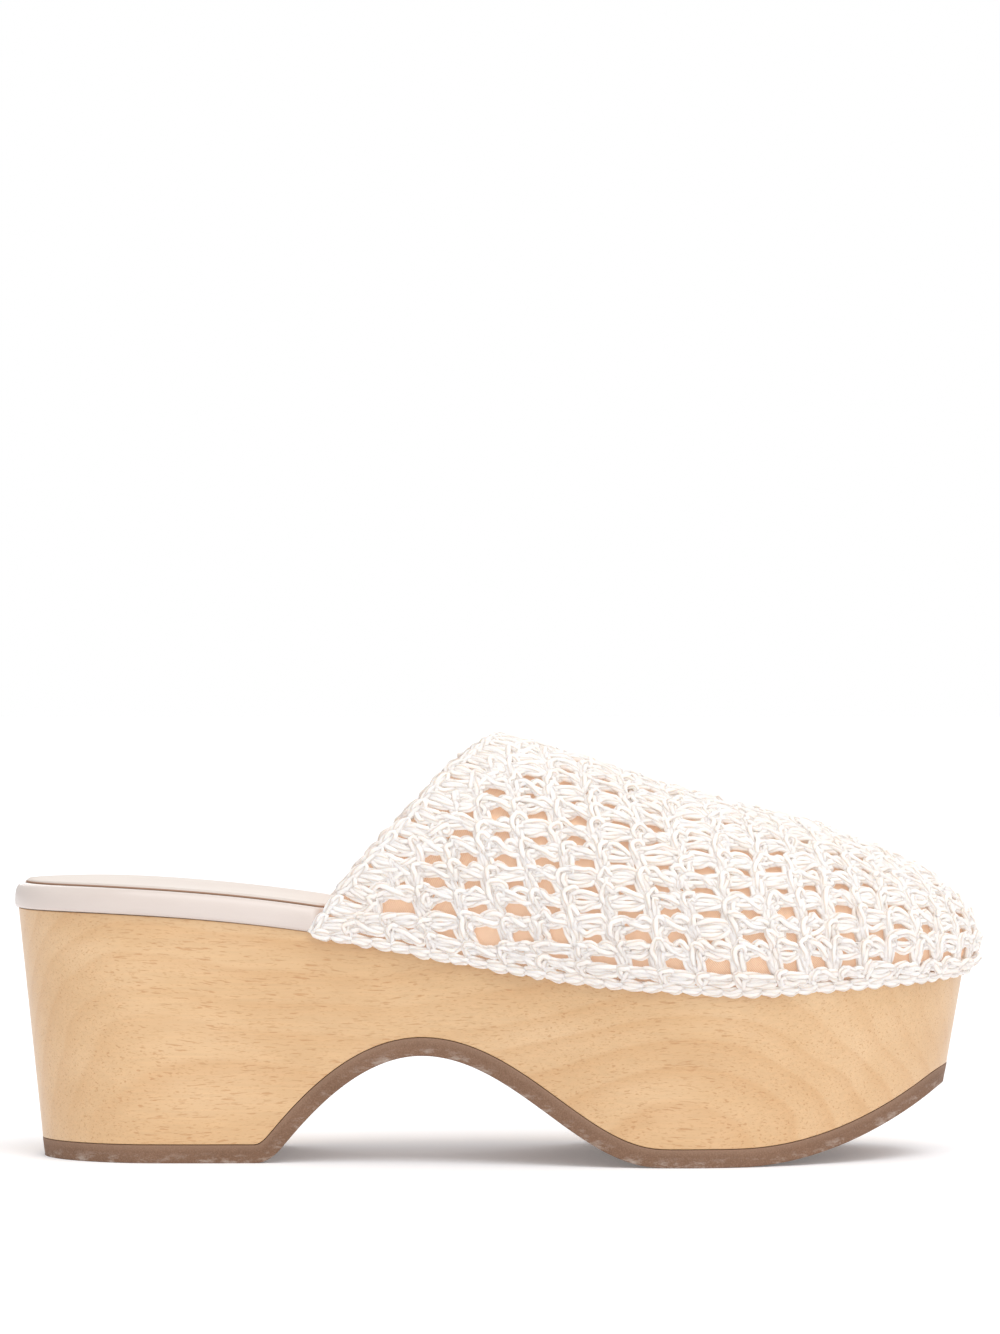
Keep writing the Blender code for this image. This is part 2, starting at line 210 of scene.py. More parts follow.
# Light: strength of the white room, and soft suns by turns about X, Y and Z, width and strength
ROOM_LIGHT = 0.60
FLOOR_GLOW = 0.14
# THROUGH_LIGHT is the strength of a painted glow of the lining, standing in for light through the
# thin cloth
THROUGH_LIGHT = 0.24
SUNS = (
    ("high_light", (22.0, 12.0, 0.0), 45.0, 1.45),
    ("front_light", (64.0, 0.0, 25.0), 40.0, 0.45),
    ("back_light", (-62.0, 0.0, 0.0), 50.0, 0.90),
)

# Colours, as linear red, green and blue
YARN_DARK = (0.86, 0.802, 0.748)
YARN_LIGHT = (0.90, 0.869, 0.835)
# Painted shade: the darker colour laid into the grooves between the yarn's plies
GROOVE_SHADE = (0.92, 0.85, 0.79)
# Painted glow of the yarn: a faint warm emission standing in for light scattered through the cotton
YARN_GLOW = (1.0, 0.84, 0.75, 1.0)
YARN_GLOW_STRENGTH = 0.10
LINING_TONES = ((0.72, 0.46, 0.30), (0.87, 0.62, 0.43), (0.95, 0.79, 0.64))
# Colour of the lining's painted glow, standing in for light through the thin cloth
LINING_GLOW = (1.0, 0.76, 0.58, 1.0)
RIM_LIGHT = (0.73, 0.645, 0.595)
RIM_DARK = (0.68, 0.590, 0.540)
SOCK_LIGHT = (0.71, 0.640, 0.585)
SOCK_DARK = (0.68, 0.600, 0.545)
# Painted shade: the dark brown of the thin line laid in the seam gap beside the rim
SEAM_SHADE = (0.36, 0.21, 0.135)
RUBBER_SPECKS = ((0.160, 0.086, 0.052), (0.225, 0.128, 0.080), (0.330, 0.205, 0.140))
RUBBER_CLOUDS = ((0.17, 0.095, 0.058), (0.28, 0.165, 0.108))
# Painted highlight: the lighter colour of the band along the rubber's top edge, where light from
# above falls
RUBBER_TOP_HIGHLIGHT = (0.36, 0.235, 0.165)
RUBBER_SCUFF = (0.55, 0.46, 0.40)
WOOD_TONES = ((0.66, 0.408, 0.200), (0.72, 0.465, 0.240), (0.78, 0.530, 0.298))
WOOD_LATE = (0.62, 0.330, 0.135)
WOOD_PORE = (0.49, 0.215, 0.068)
FLOOR_COLOUR = (0.89, 0.89, 0.91, 1.0)
WHITE = (1.0, 1.0, 1.0)

# Growth rings, their wander and the floor's reach in metres; the weave's period in millimetres
PITH_PLACE = (0.0, -0.096, -0.012)
RING_WIDTH = 0.0062
RING_WANDER = 0.020
WEAVE_PERIOD = 0.54
FLOOR_REACH = 6.0

rng = np.random.default_rng(7)


def read(table, column, place):
    """A table's column at a place, on a smooth curve through its rows."""
    places = np.array(table["place"])
    values = np.array(table[column])
    slopes = np.gradient(values, places)
    place = np.clip(place, places[0], places[-1])
    row = np.clip(np.searchsorted(places, place) - 1, 0, len(places) - 2)
    width = places[row + 1] - places[row]
    share = (place - places[row]) / width
    rising = share * share * (3.0 - 2.0 * share)
    start_pull = share * (1.0 - share) ** 2
    end_pull = share * share * (share - 1.0)
    level = values[row] * (1.0 - rising) + values[row + 1] * rising
    return level + width * (slopes[row] * start_pull + slopes[row + 1] * end_pull)


def smooth_step(value, start, end):
    """0 before start, 1 after end, and a smooth rise between them."""
    share = np.clip((value - start) / (end - start), 0.0, 1.0)
    return share * share * (3.0 - 2.0 * share)


def unit(vectors, least=0.0):
    """Vectors brought to length 1; any that are shorter than the least length stay short."""
    lengths = np.linalg.norm(vectors, axis=-1, keepdims=True)
    return vectors / np.maximum(lengths, least)


def run_along(points):
    """Length along each line of points, up to each of its points."""
    steps = np.linalg.norm(np.diff(points, axis=-2), axis=-1)
    return np.cumsum(np.insert(steps, 0, 0.0, axis=-1), axis=-1)


def end_rounding(place):
    """Share of the half width that is left where the outline closes at heel and toe."""
    heel = HEEL_ROUND / SOLE_LENGTH
    toe = TOE_ROUND / SOLE_LENGTH
    inward = np.clip(1.0 - place / heel, 0.0, 1.0)
    forward = np.clip((place - (1.0 - toe)) / toe, 0.0, 1.0)
    return np.sqrt(1.0 - inward * inward) * (1.0 - forward ** TOE_POWER) ** (1.0 / TOE_POWER)


def top_height(place):
    """Height of the wood's top above the floor."""
    drop = (HEEL_HEIGHT - BALL_HEIGHT) * read(TOP_LINE, "drop", place)
    return BALL_HEIGHT + drop + TOE_RISE * read(TOP_LINE, "rise", place)


def edge(place, height, back=0.0, front=0.0, side=0.0):
    """X and both Y values of the sole's edge at a height, grown by the given margins."""
    low_share = 1.0 - height / top_height(place)
    start = HEEL_RAKE * (1.0 - height / HEEL_HEIGHT) - back
    end = SOLE_LENGTH - TOE_RAKE * (1.0 - height / top_height(1.0)) + front
    rounding = end_rounding(place)
    half = BALL_WIDTH * read(PLAN, "half", place) - SIDE_TAPER * low_share + side
    axis = BALL_WIDTH * read(PLAN, "axis", place)
    return start + place * (end - start), axis - half * rounding, axis + half * rounding


def hem_point(side, place):
    """Points on the upper's lower edge; side is -1 for the outer side and 1 for the inner."""
    x, outer, inner = edge(place, top_height(place), HEM_PROUD, HEM_PROUD, HEM_PROUD)
    return x, outer if side < 0 else inner, top_height(place) + FIT_GAP


def ridge_point(x):
    """Points on the ridge of the upper, also on its line carried on behind the throat."""
    throat = THROAT_PLACE * SOLE_LENGTH
    toe = TOE_CENTRE_PLACE * SOLE_LENGTH
    share = np.clip((x - throat) / (toe - throat), 0.0, 1.0)
    place = np.maximum(x, throat) / SOLE_LENGTH
    above = TOE_BOX_HEIGHT + (INSTEP_HEIGHT - TOE_BOX_HEIGHT) * read(VAMP, "instep", share)
    height = top_height(place) + above + THROAT_SLOPE * np.minimum(0.0, x - throat)
    return x, BALL_WIDTH * (read(PLAN, "axis", x / SOLE_LENGTH) + RIDGE_SHIFT), height


def arch_reach(angle):
    """Share of the arch's half width at an angle, a little fuller than an ellipse."""
    return np.maximum(0.0, np.cos(angle)) ** FULLNESS


def side_point(side, x, turn):
    """Points of the upper's side: turn runs from 0 at the hem to 1 at the ridge."""
    place = x / SOLE_LENGTH
    tuck = np.radians(read(TUCK, "degrees", place))
    _, hem_y, hem_z = hem_point(side, place)
    _, ridge_y, ridge_z = ridge_point(x)
    angle = -tuck + turn * (math.pi / 2.0 + tuck)
    centre = (hem_z + ridge_z * np.sin(tuck)) / (1.0 + np.sin(tuck))
    reach = (hem_y - ridge_y) / arch_reach(tuck)
    y = ridge_y + reach * arch_reach(angle)
    z = centre + (ridge_z - centre) * np.sin(angle)
    return np.stack(np.broadcast_arrays(x, y, z), axis=-1)


def toe_point(side, place, turn):
    """Points of the round toe, on arches from the hem to the toe's centre on the ridge."""
    tuck = np.radians(read(TUCK, "degrees", place))
    hem_x, hem_y, hem_z = hem_point(side, place)
    top_x, top_y, top_z = ridge_point(np.full_like(place, TOE_CENTRE_PLACE * SOLE_LENGTH))
    angle = -tuck + turn * (math.pi / 2.0 + tuck)
    reach_x = (hem_x - top_x) / arch_reach(tuck)
    reach_y = (hem_y - top_y) / arch_reach(tuck)
    fall = TOE_SLOPE * reach_x
    centre = (hem_z + top_z * np.sin(tuck) - fall * arch_reach(tuck)) / (1.0 + np.sin(tuck))
    x = top_x + reach_x * arch_reach(angle)
    y = top_y + reach_y * arch_reach(angle)
    z = centre + fall * arch_reach(angle) + (top_z - centre) * np.sin(angle)
    return np.stack(np.broadcast_arrays(x, y, z), axis=-1)


def form_point(side, place, x, turn):
    """Points of the upper: round the toe from places on the hem, elsewhere at an X."""
    on_toe = (place > TOE_CENTRE_PLACE)[..., None]
    return np.where(on_toe, toe_point(side, place, turn), side_point(side, x, turn))


def sole_places(heel_steps, middle_steps, toe_steps):
    """Places of the sole's sections, closer together where the outline turns in."""
    heel_angles = (np.arange(heel_steps) + 0.5) * math.pi / 2.0 / heel_steps
    toe_angles = (np.arange(toe_steps) + 0.5) * math.pi / 2.0 / toe_steps
    heel = HEEL_ROUND / SOLE_LENGTH * (1.0 - np.cos(heel_angles))
    toe = 1.0 - TOE_ROUND / SOLE_LENGTH * (1.0 - np.cos(toe_angles))
    middle = np.linspace(HEEL_ROUND / SOLE_LENGTH, 1.0 - TOE_ROUND / SOLE_LENGTH, middle_steps)
    return np.concatenate((heel, middle, toe[::-1]))


def frame_shift():
    """How far the frame lies from the sole's own coordinates, from the wood's box."""
    low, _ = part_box("wood_sole")
    places = sole_places(*SOLID_STEPS)
    x, outer, _ = edge(places, top_height(places))
    return np.array((low.x - x.min(), low.y - outer.min(), 0.0))


SHIFT = frame_shift()


def new_object(name, data):
    """A new object in the scene."""
    made = bpy.data.objects.new(name, data)
    bpy.context.scene.collection.objects.link(made)
    return made


def mesh_piece(name, points, faces, node, material, uvs=None):
    """A piece of the shoe from points in the sole's coordinates and rows of faces."""
    mesh = bpy.data.meshes.new(name)
    points = np.asarray(points, dtype=np.float32) + SHIFT.astype(np.float32)
    faces = [np.asarray(group, dtype=np.int32) for group in faces]
    loops = np.concatenate([group.ravel() for group in faces])
    sizes = np.concatenate([np.full(len(group), group.shape[1]) for group in faces])
    starts = np.concatenate(((0,), np.cumsum(sizes)[:-1]))
    mesh.vertices.add(len(points))
    mesh.vertices.foreach_set("co", points.ravel())
    mesh.loops.add(len(loops))
    mesh.loops.foreach_set("vertex_index", loops)
    mesh.polygons.add(len(sizes))
    mesh.polygons.foreach_set("loop_start", starts.astype(np.int32))
    mesh.update(calc_edges=True)
    if uvs is not None:
        layer = mesh.uv_layers.new(name="UVMap")
        layer.data.foreach_set("uv", np.asarray(uvs, dtype=np.float32).ravel())
    mesh.validate()
    mesh.shade_smooth()
    mesh.materials.append(material)
    piece = new_object(name, mesh)
    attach(piece, "root")
    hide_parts(node)
    return piece


def grid_faces(rows, columns, closed=False):
    """Quads of a grid of points stored row after row; closed joins each row's ends."""
    row = np.arange(rows - 1)[:, None]
    column = np.arange(columns if closed else columns - 1)[None, :]
    following = (column + 1) % columns
    corners = (row * columns + column, row * columns + following,
               (row + 1) * columns + following, (row + 1) * columns + column)
    return np.stack(np.broadcast_arrays(*corners), axis=-1).reshape(-1, 4)


def fan_caps(count, size):
    """End faces of a loft, as fans about a middle point after all of its rings."""
    ring = np.arange(size)
    after = (ring + 1) % size
    last = (count - 1) * size
    first_cap = np.stack((after, ring, np.full(size, count * size)), axis=-1)
    last_cap = np.stack((last + ring, last + after, np.full(size, count * size + 1)), axis=-1)
    return [first_cap, last_cap]


def ladder_caps(count, size):
    """End faces of a loft whose rings are mirrored: rungs from one half to the other."""
    half = size // 2
    rung = np.arange(half - 1)
    quads = np.stack((rung, rung + 1, size - 2 - rung, size - 1 - rung), axis=-1)
    tip = np.array(((half - 1, half, half + 1),))
    last = (count - 1) * size
    return [quads[:, ::-1], tip[:, ::-1], quads + last, tip + last]


def loft(name, rings, node, material, marks=None, ladder=False):
    """A closed piece through rings of points, capped by a fan or rungs; marks are its UVs."""
    rings = np.asarray(rings)
    count, size = rings.shape[:2]
    points = rings.reshape(-1, 3)
    faces = [grid_faces(count, size, True)]
    if ladder:
        faces += ladder_caps(count, size)
    else:
        points = np.concatenate((points, rings[[0, -1]].mean(axis=1)))
        faces += fan_caps(count, size)
    uvs = None
    if marks is not None:
        marks = np.asarray(marks, dtype=float)
        end_marks = marks[[0, -1]].mean(axis=1)
        marks = np.concatenate((marks.reshape(-1, 2), end_marks))
        uvs = marks[np.concatenate([group.ravel() for group in faces])]
    return mesh_piece(name, points, faces, node, material, uvs)


def underside_height(place):
    """Height of the outsole's tread: flat heel, arch, flat forefoot and toe spring."""
    heel_end = HEEL_BASE / SOLE_LENGTH
    back = np.clip((ARCH_TOP_PLACE - place) / (ARCH_TOP_PLACE - heel_end), 0.0, 1.0)
    front = np.clip((place - ARCH_TOP_PLACE) / (TREAD_START_PLACE - ARCH_TOP_PLACE), 0.0, 1.0)
    spring = np.clip((place - TREAD_END_PLACE) / (1.0 - TREAD_END_PLACE), 0.0, 1.0)
    arch_back = ARCH_HEIGHT * (1.0 - back ** ARCH_BACK_POWERS[0]) ** ARCH_BACK_POWERS[1]
    arch_front = ARCH_HEIGHT * np.cos(front * math.pi / 2.0) ** ARCH_FRONT_POWER
    arch = np.where(place < ARCH_TOP_PLACE, arch_back, arch_front)
    return arch + TOE_SPRING * spring ** SPRING_POWER


def rounded_tread(place):
    """The tread's height with the sharp corner of the heel breast worn a little round."""
    window = np.linspace(-TREAD_ROUND, TREAD_ROUND, 21) / SOLE_LENGTH
    around = underside_height(np.clip(place[..., None] + window, 0.0, 1.0))
    return around.mean(axis=-1)


def raised_tread(place, distance):
    """The tread's line moved up by a thickness, square to itself, with its corners kept."""
    window = np.linspace(-1.0, 1.0, 61) * distance
    around = rounded_tread(place[..., None] + window / SOLE_LENGTH)
    return (around + np.sqrt(distance ** 2 - window ** 2)).max(axis=-1)


def slab(name, lows, highs, rounding, node, material):
    """A block between two lines of heights along the sole, with softened long edges."""
    rings, marks = [], []
    levels = BLOCK_LEVELS + BLOCK_LEVELS[::-1]
    for low, high in zip(lows, highs):
        marks.append([(low[0], level) for level in levels])
        (x0, outer0, inner0), (x1, outer1, inner1) = edge(*low), edge(*high)
        reach = min(rounding, 0.25 * (inner0 - outer0), 0.25 * (high[1] - low[1]))
        turn = reach * (1.0 - math.sqrt(0.5))
        halves = []
        for y0, y1, inward in ((outer0, outer1, 1.0), (inner0, inner1, -1.0)):
            halves.append([
                (x0, y0 + inward * reach, low[1]), (x0, y0 + inward * turn, low[1] + turn),
                (x0, y0, low[1] + reach), (x1, y1, high[1] - reach),
                (x1, y1 + inward * turn, high[1] - turn), (x1, y1 + inward * reach, high[1]),
            ])
        rings.append(halves[0] + halves[1][::-1])
    piece = loft(name, rings, node, material, marks)
    piece.data.set_sharp_from_angle(angle=math.radians(BLOCK_SHARP))
    even = piece.modifiers.new("even_shading", "WEIGHTED_NORMAL")
    even.keep_sharp = True
    return piece


def rim_margin(place):
    """How far the footbed's side stands out of the wood: proud behind, inset in the upper."""
    inset = WALL - HEM_PROUD + UPPER_CLEARANCE
    share = ((UPPER_START_PLACE - place) * SOLE_LENGTH - RIM_TUCK_LEAD) / RIM_TUCK_LENGTH
    share = np.clip(share, 0.0, 1.0)
    return -inset + (RIM_PROUD + inset) * share * share * (3.0 - 2.0 * share)


def footbed_line(place, inward, level):
    """Two points across the footbed, inward from its side and at a level over the wood."""
    margin = rim_margin(place) - inward
    front = rim_margin(1.0) - inward
    x, outer, inner = edge(place, top_height(place), RIM_PROUD - inward, front, margin)
    height = top_height(place) + level
    return (x, outer, height), (x, inner, height)


def across(outer, inner, dish, steps):
    """Points between two edge points, lowered into the dish of the heel seat."""
    shares = (np.arange(steps) + 1.0) / (steps + 1.0)
    depth = dish * np.sin(shares * math.pi) ** 0.6
    points = np.array(outer) + (np.array(inner) - np.array(outer)) * shares[:, None]
    points[:, 2] -= depth
    return [tuple(point) for point in points]


def heel_dish(place):
    """Depth of the dished heel seat, fading out before the arch."""
    return HEEL_DISH * math.cos(min(1.0, place / ARCH_TOP_PLACE) * math.pi / 2.0)


RIM_PROFILE = {
    "inward": (1.2, 0.30, 0.0, -0.06, 0.0, 0.14, 0.42, 0.85, 1.35, 1.90, 2.40, 2.80, 2.95),
    "level": (0.15, 0.35, 1.0, 2.2, 3.5, 4.5, 5.4, 6.15, 6.65, 6.95, 7.02, 6.80, 5.8),
}


def footbed_piece(material):
    """The padded footbed in wrapped leather: a soft rim and a seat for the sock."""
    rings = []
    for place in sole_places(*FOOTBED_STEPS):
        lines = [footbed_line(place, inward / 1000.0, level / 1000.0)
                 for inward, level in zip(RIM_PROFILE["inward"], RIM_PROFILE["level"])]
        outer, inner = zip(*lines)
        rings.append([*outer, *across(*lines[-1], heel_dish(place), 7), *reversed(inner)])
    return loft("footbed_leather", rings, "footbed", material, ladder=True)


def insole_piece(material):
    """The thin leather sock, its edge turned down into the seam beside the rim."""
    rings = []
    base = FOOTBED_THICKNESS + FIT_GAP
    for place in sole_places(*FOOTBED_STEPS):
        dish = heel_dish(place)
        low = footbed_line(place, SOCK_INSET + FIT_GAP, base - SOCK_THICKNESS)
        side = footbed_line(place, SOCK_INSET + FIT_GAP, base - SOCK_SIDE_DROP)
        top = footbed_line(place, SOCK_INSET + SOCK_TURN, base + SOCK_CROWN)
        ring = [low[0], side[0], top[0]] + across(*top, dish, 9) + [top[1], side[1], low[1]]
        ring += across(low[1], low[0], dish, 5)
        rings.append(ring)
    return loft("insole_sock", rings, "insole", material)


def seam_shade_line(material):
    """A fine dark brown line beside the rim, in the seam under the sock's edge: painted shade of
    the gap there.
    """
    level = FOOTBED_THICKNESS - EDGE_DROP
    outer, inner = [], []
    for place in sole_places(*FOOTBED_STEPS):
        first, second = footbed_line(place, SOCK_INSET + EDGE_OUT, level)
        outer.append(first)
        inner.append(second)
    path = np.array(outer + inner[::-1])
    flat = unit(np.roll(path, -1, axis=0) - np.roll(path, 1, axis=0))
    out = np.stack((flat[:, 1], -flat[:, 0], np.zeros(len(flat))), axis=-1)
    up = np.array((0.0, 0.0, 1.0))
    rings = []
    for wide, high in ((-1.0, -1.0), (-1.0, 1.0), (0.0, 1.5), (1.0, 1.0), (1.0, -1.0)):
        rings.append(path + out * wide * EDGE_LINE / 2.0 + up * high * EDGE_LINE / 2.0)
    rings = np.stack(rings, axis=1)
    count, size = rings.shape[:2]
    faces = grid_faces(count + 1, size, True) % (count * size)
    return mesh_piece("seam_shade_line", rings.reshape(-1, 3), [faces], "insole",
                      material)


class Nodes:
    """A new material, and short ways to add, set and link its nodes."""

    def __init__(self, name):
        self.material = bpy.data.materials.new(name)
        self.material.use_nodes = True
        self.tree = self.material.node_tree
        self.shader = self.tree.nodes["Principled BSDF"]

    def add(self, kind, **values):
        """Adds a node and sets its inputs and settings by name."""
        made = self.tree.nodes.new(kind)
        for key, value in values.items():
            if key in made.inputs:
                made.inputs[key].default_value = value
            else:
                setattr(made, key, value)
        return made

    def link(self, source, target, socket=0):
        """Links a node or an output to a node's input or straight to a socket."""
        output = source if isinstance(source, bpy.types.NodeSocket) else source.outputs[0]
        goal = target if isinstance(target, bpy.types.NodeSocket) else target.inputs[socket]
        self.tree.links.new(output, goal)

    def feed(self, sockets, values):
        """Gives each socket its value: a number, a colour, a vector, or a node to link."""
        for socket, value in zip(sockets, values):
            if isinstance(value, (int, float)):
                socket.default_value = value
            elif isinstance(value, tuple):
                socket.default_value = (*value, 1.0)[:len(socket.default_value)]
            else:
                self.link(value, socket)

    def settle(self, values):
        """Sets the shader's own values by name."""
        for key, value in values.items():
            self.shader.inputs[key].default_value = value

    def uv_axes(self):
        """The UV map, and its two coordinates apart."""
        whole = self.add("ShaderNodeUVMap", uv_map="UVMap").outputs["UV"]
        separate = self.add("ShaderNodeSeparateXYZ")
        self.link(whole, separate)
        return whole, separate.outputs["X"], separate.outputs["Y"]

    def place(self):
        """Coordinates of the object's own space."""
        return self.add("ShaderNodeTexCoord").outputs["Object"]

    def ramp(self, source, *stops):
        """A colour ramp through (position, colour or grey level) stops."""
        made = self.add("ShaderNodeValToRGB")
        elements = made.color_ramp.elements
        while len(elements) < len(stops):
            elements.new(0.5)
        for element, (position, colour) in zip(elements, stops):
            element.position = position
            element.color = (*(colour if isinstance(colour, tuple) else (colour,) * 3), 1.0)
        self.link(source, made, "Fac")
        return made.outputs[0]

    def math(self, operation, *values):
        """A math node's output."""
        made = self.add("ShaderNodeMath", operation=operation)
        self.feed(made.inputs, values)
        return made.outputs[0]

    def vector(self, operation, *values):
        """A vector math node."""
        made = self.add("ShaderNodeVectorMath", operation=operation)
        self.feed(made.inputs, values)
        return made

    def noise(self, coordinates, stretch, scale, detail, roughness, turn=(0.0, 0.0, 0.0)):
        """Noise over coordinates stretched by a vector."""
        mapping = self.add("ShaderNodeMapping", Scale=stretch, Rotation=turn)
        self.link(coordinates, mapping, "Vector")
        made = self.add("ShaderNodeTexNoise", Scale=scale, Detail=detail, Roughness=roughness)
        self.link(mapping, made, "Vector")
        return made

    def mix(self, share, first, second, blend="MIX"):
        """Two colours mixed by a share."""
        made = self.add("ShaderNodeMix", data_type="RGBA", blend_type=blend)
        self.feed((made.inputs["Factor"], made.inputs[6], made.inputs[7]), (share, first, second))
        return made.outputs[2]

    def bump(self, height, strength, distance, normal=None):
        """A bump on the shader, on top of an earlier one if it is given."""
        made = self.add("ShaderNodeBump", Strength=strength, Distance=distance)
        self.link(height, made, "Height")
        if normal is not None:
            self.link(normal, made, "Normal")
        self.link(made, self.shader, "Normal")
        return made


def wood_material():
    """Pale wood in a satin finish: growth rings about a pith beside the block, and fine pores."""
    nodes = Nodes("wood_finish")
    place = nodes.place()
    wander = nodes.noise(place, (9.0, 22.0, 22.0), 1.0, 2.0, 0.45)
    centred = nodes.vector("SUBTRACT", wander.outputs["Color"], (0.5, 0.5, 0.5))
    scaled = nodes.vector("SCALE", centred)
    scaled.inputs["Scale"].default_value = RING_WANDER
    moved = nodes.vector("ADD", place, scaled)
    from_pith = nodes.vector("SUBTRACT", moved, PITH_PLACE)
    flat = nodes.vector("MULTIPLY", from_pith, (0.0, 1.0, 1.0))
    distance = nodes.vector("LENGTH", flat)
    rings = nodes.math("DIVIDE", distance.outputs["Value"], RING_WIDTH)
    share = nodes.math("FRACT", rings)
    late = nodes.ramp(share, (0.0, 0.0), (0.45, 0.20), (0.86, 1.0), (1.0, 0.0))
    fibre = nodes.noise(place, (60.0, 1300.0, 1300.0), 1.0, 3.0, 0.6)
    cloud = nodes.noise(place, (18.0, 45.0, 45.0), 1.0, 3.0, 0.55)
    pores = nodes.noise(moved.outputs[0], (230.0, 2300.0, 2300.0), 1.0, 1.0, 0.4)
    pore_mask = nodes.ramp(pores, (0.0, 1.0), (0.30, 1.0), (0.365, 0.0), (1.0, 0.0))
    flecks = nodes.noise(moved.outputs[0], (700.0, 3400.0, 3400.0), 1.0, 1.0, 0.4)
    fleck_mask = nodes.ramp(flecks, (0.0, 1.0), (0.32, 1.0), (0.39, 0.0), (1.0, 0.0))
    base = nodes.ramp(cloud, *zip((0.25, 0.5, 0.75), WOOD_TONES))
    patches = nodes.noise(place, (12.0, 30.0, 30.0), 1.0, 2.0, 0.5)
    patchy = nodes.ramp(patches, (0.3, 0.12), (0.7, 0.42))
    ringed = nodes.math("MULTIPLY", late, patchy)
    with_rings = nodes.mix(ringed, base, WOOD_LATE)
    fibre_tone = nodes.ramp(fibre, (0.2, 0.92), (0.8, 1.04))
    with_fibre = nodes.mix(1.0, with_rings, fibre_tone, "MULTIPLY")
    fleck_share = nodes.math("MULTIPLY", fleck_mask, 0.30)
    with_flecks = nodes.mix(fleck_share, with_fibre, WOOD_PORE)
    pore_share = nodes.math("MULTIPLY", pore_mask, 0.50)
    colour = nodes.mix(pore_share, with_flecks, WOOD_PORE)
    nodes.link(colour, nodes.shader, "Base Color")
    gloss = nodes.ramp(fibre, (0.3, 0.40), (0.7, 0.52))
    nodes.link(gloss, nodes.shader, "Roughness")
    nodes.settle({"Coat Weight": 0.45, "Coat Roughness": 0.30})
    first = nodes.bump(fibre, 0.10, 0.0002)
    sunk = nodes.math("SUBTRACT", 1.0, pore_mask)
    nodes.bump(sunk, 0.35, 0.0002, first)
    return nodes.material


def rubber_material():
    """Brown sheet rubber with a fine speckle, pale scuffs low on the heel, and a painted highlight
    as a lighter band along its bevelled top.
    """
    nodes = Nodes("rubber_sheet")
    place = nodes.place()
    speckle = nodes.noise(place, (1.0, 1.0, 1.0), 2600.0, 2.0, 0.6)
    broad = nodes.noise(place, (20.0, 30.0, 60.0), 1.0, 3.0, 0.6)
    scuff = nodes.noise(place, (160.0, 200.0, 420.0), 1.0, 4.0, 0.75, (0.0, 0.5, 0.0))
    base = nodes.ramp(speckle, *zip((0.25, 0.5, 0.78), RUBBER_SPECKS))
    clouds = nodes.ramp(broad, *zip((0.3, 0.7), RUBBER_CLOUDS))
    toned = nodes.mix(0.35, base, clouds)
    level = nodes.uv_axes()[2]
    # Painted highlight: the band along the top edge is lightened where light from above falls.
    top_highlight_share = nodes.ramp(level, (0.60, 0.0), (0.92, 0.42), (1.0, 0.10))
    lit = nodes.mix(top_highlight_share, toned, RUBBER_TOP_HIGHLIGHT)
    worn = nodes.ramp(scuff, (0.50, 0.0), (0.68, 1.0))
    low = nodes.ramp(level, (0.0, 1.0), (0.25, 0.7), (0.62, 0.0))
    share = nodes.math("MULTIPLY", nodes.math("MULTIPLY", worn, low), 0.80)
    colour = nodes.mix(share, lit, RUBBER_SCUFF)
    nodes.link(colour, nodes.shader, "Base Color")
    nodes.settle({"Roughness": 0.70, "Specular IOR Level": 0.25})
    first = nodes.bump(speckle, 0.25, 0.0001)
    nodes.bump(scuff, 0.20, 0.0002, first)
    return nodes.material


def leather_material(name, light, dark, grain_scale, roughness, coat):
    """Smooth pale leather: fine grain, faint stretch lines and a soft gloss."""
    nodes = Nodes(name)
    place = nodes.place()
    grain = nodes.add("ShaderNodeTexVoronoi", Scale=grain_scale)
    nodes.link(place, grain, "Vector")
    cloud = nodes.noise(place, (22.0, 40.0, 60.0), 1.0, 3.0, 0.5)
    creases = nodes.noise(place, (70.0, 160.0, 300.0), 1.0, 2.0, 0.5)
    base = nodes.ramp(cloud, (0.3, dark), (0.7, light))
    nodes.link(base, nodes.shader, "Base Color")
    nodes.settle({
        "Roughness": roughness, "Specular IOR Level": 0.35, "Coat Weight": coat,
        "Coat Roughness": 0.25,
    })
    first = nodes.bump(grain.outputs["Distance"], 0.12, 0.0001)
    nodes.bump(creases, 0.22, 0.0004, first)
    return nodes.material


def seam_shade_material():
    """Dark brown of the line in the seam beside the rim: painted shade of the gap there."""
    nodes = Nodes("painted_seam_shade")
    nodes.settle({"Base Color": (*SEAM_SHADE, 1.0), "Roughness": 0.8})
    return nodes.material


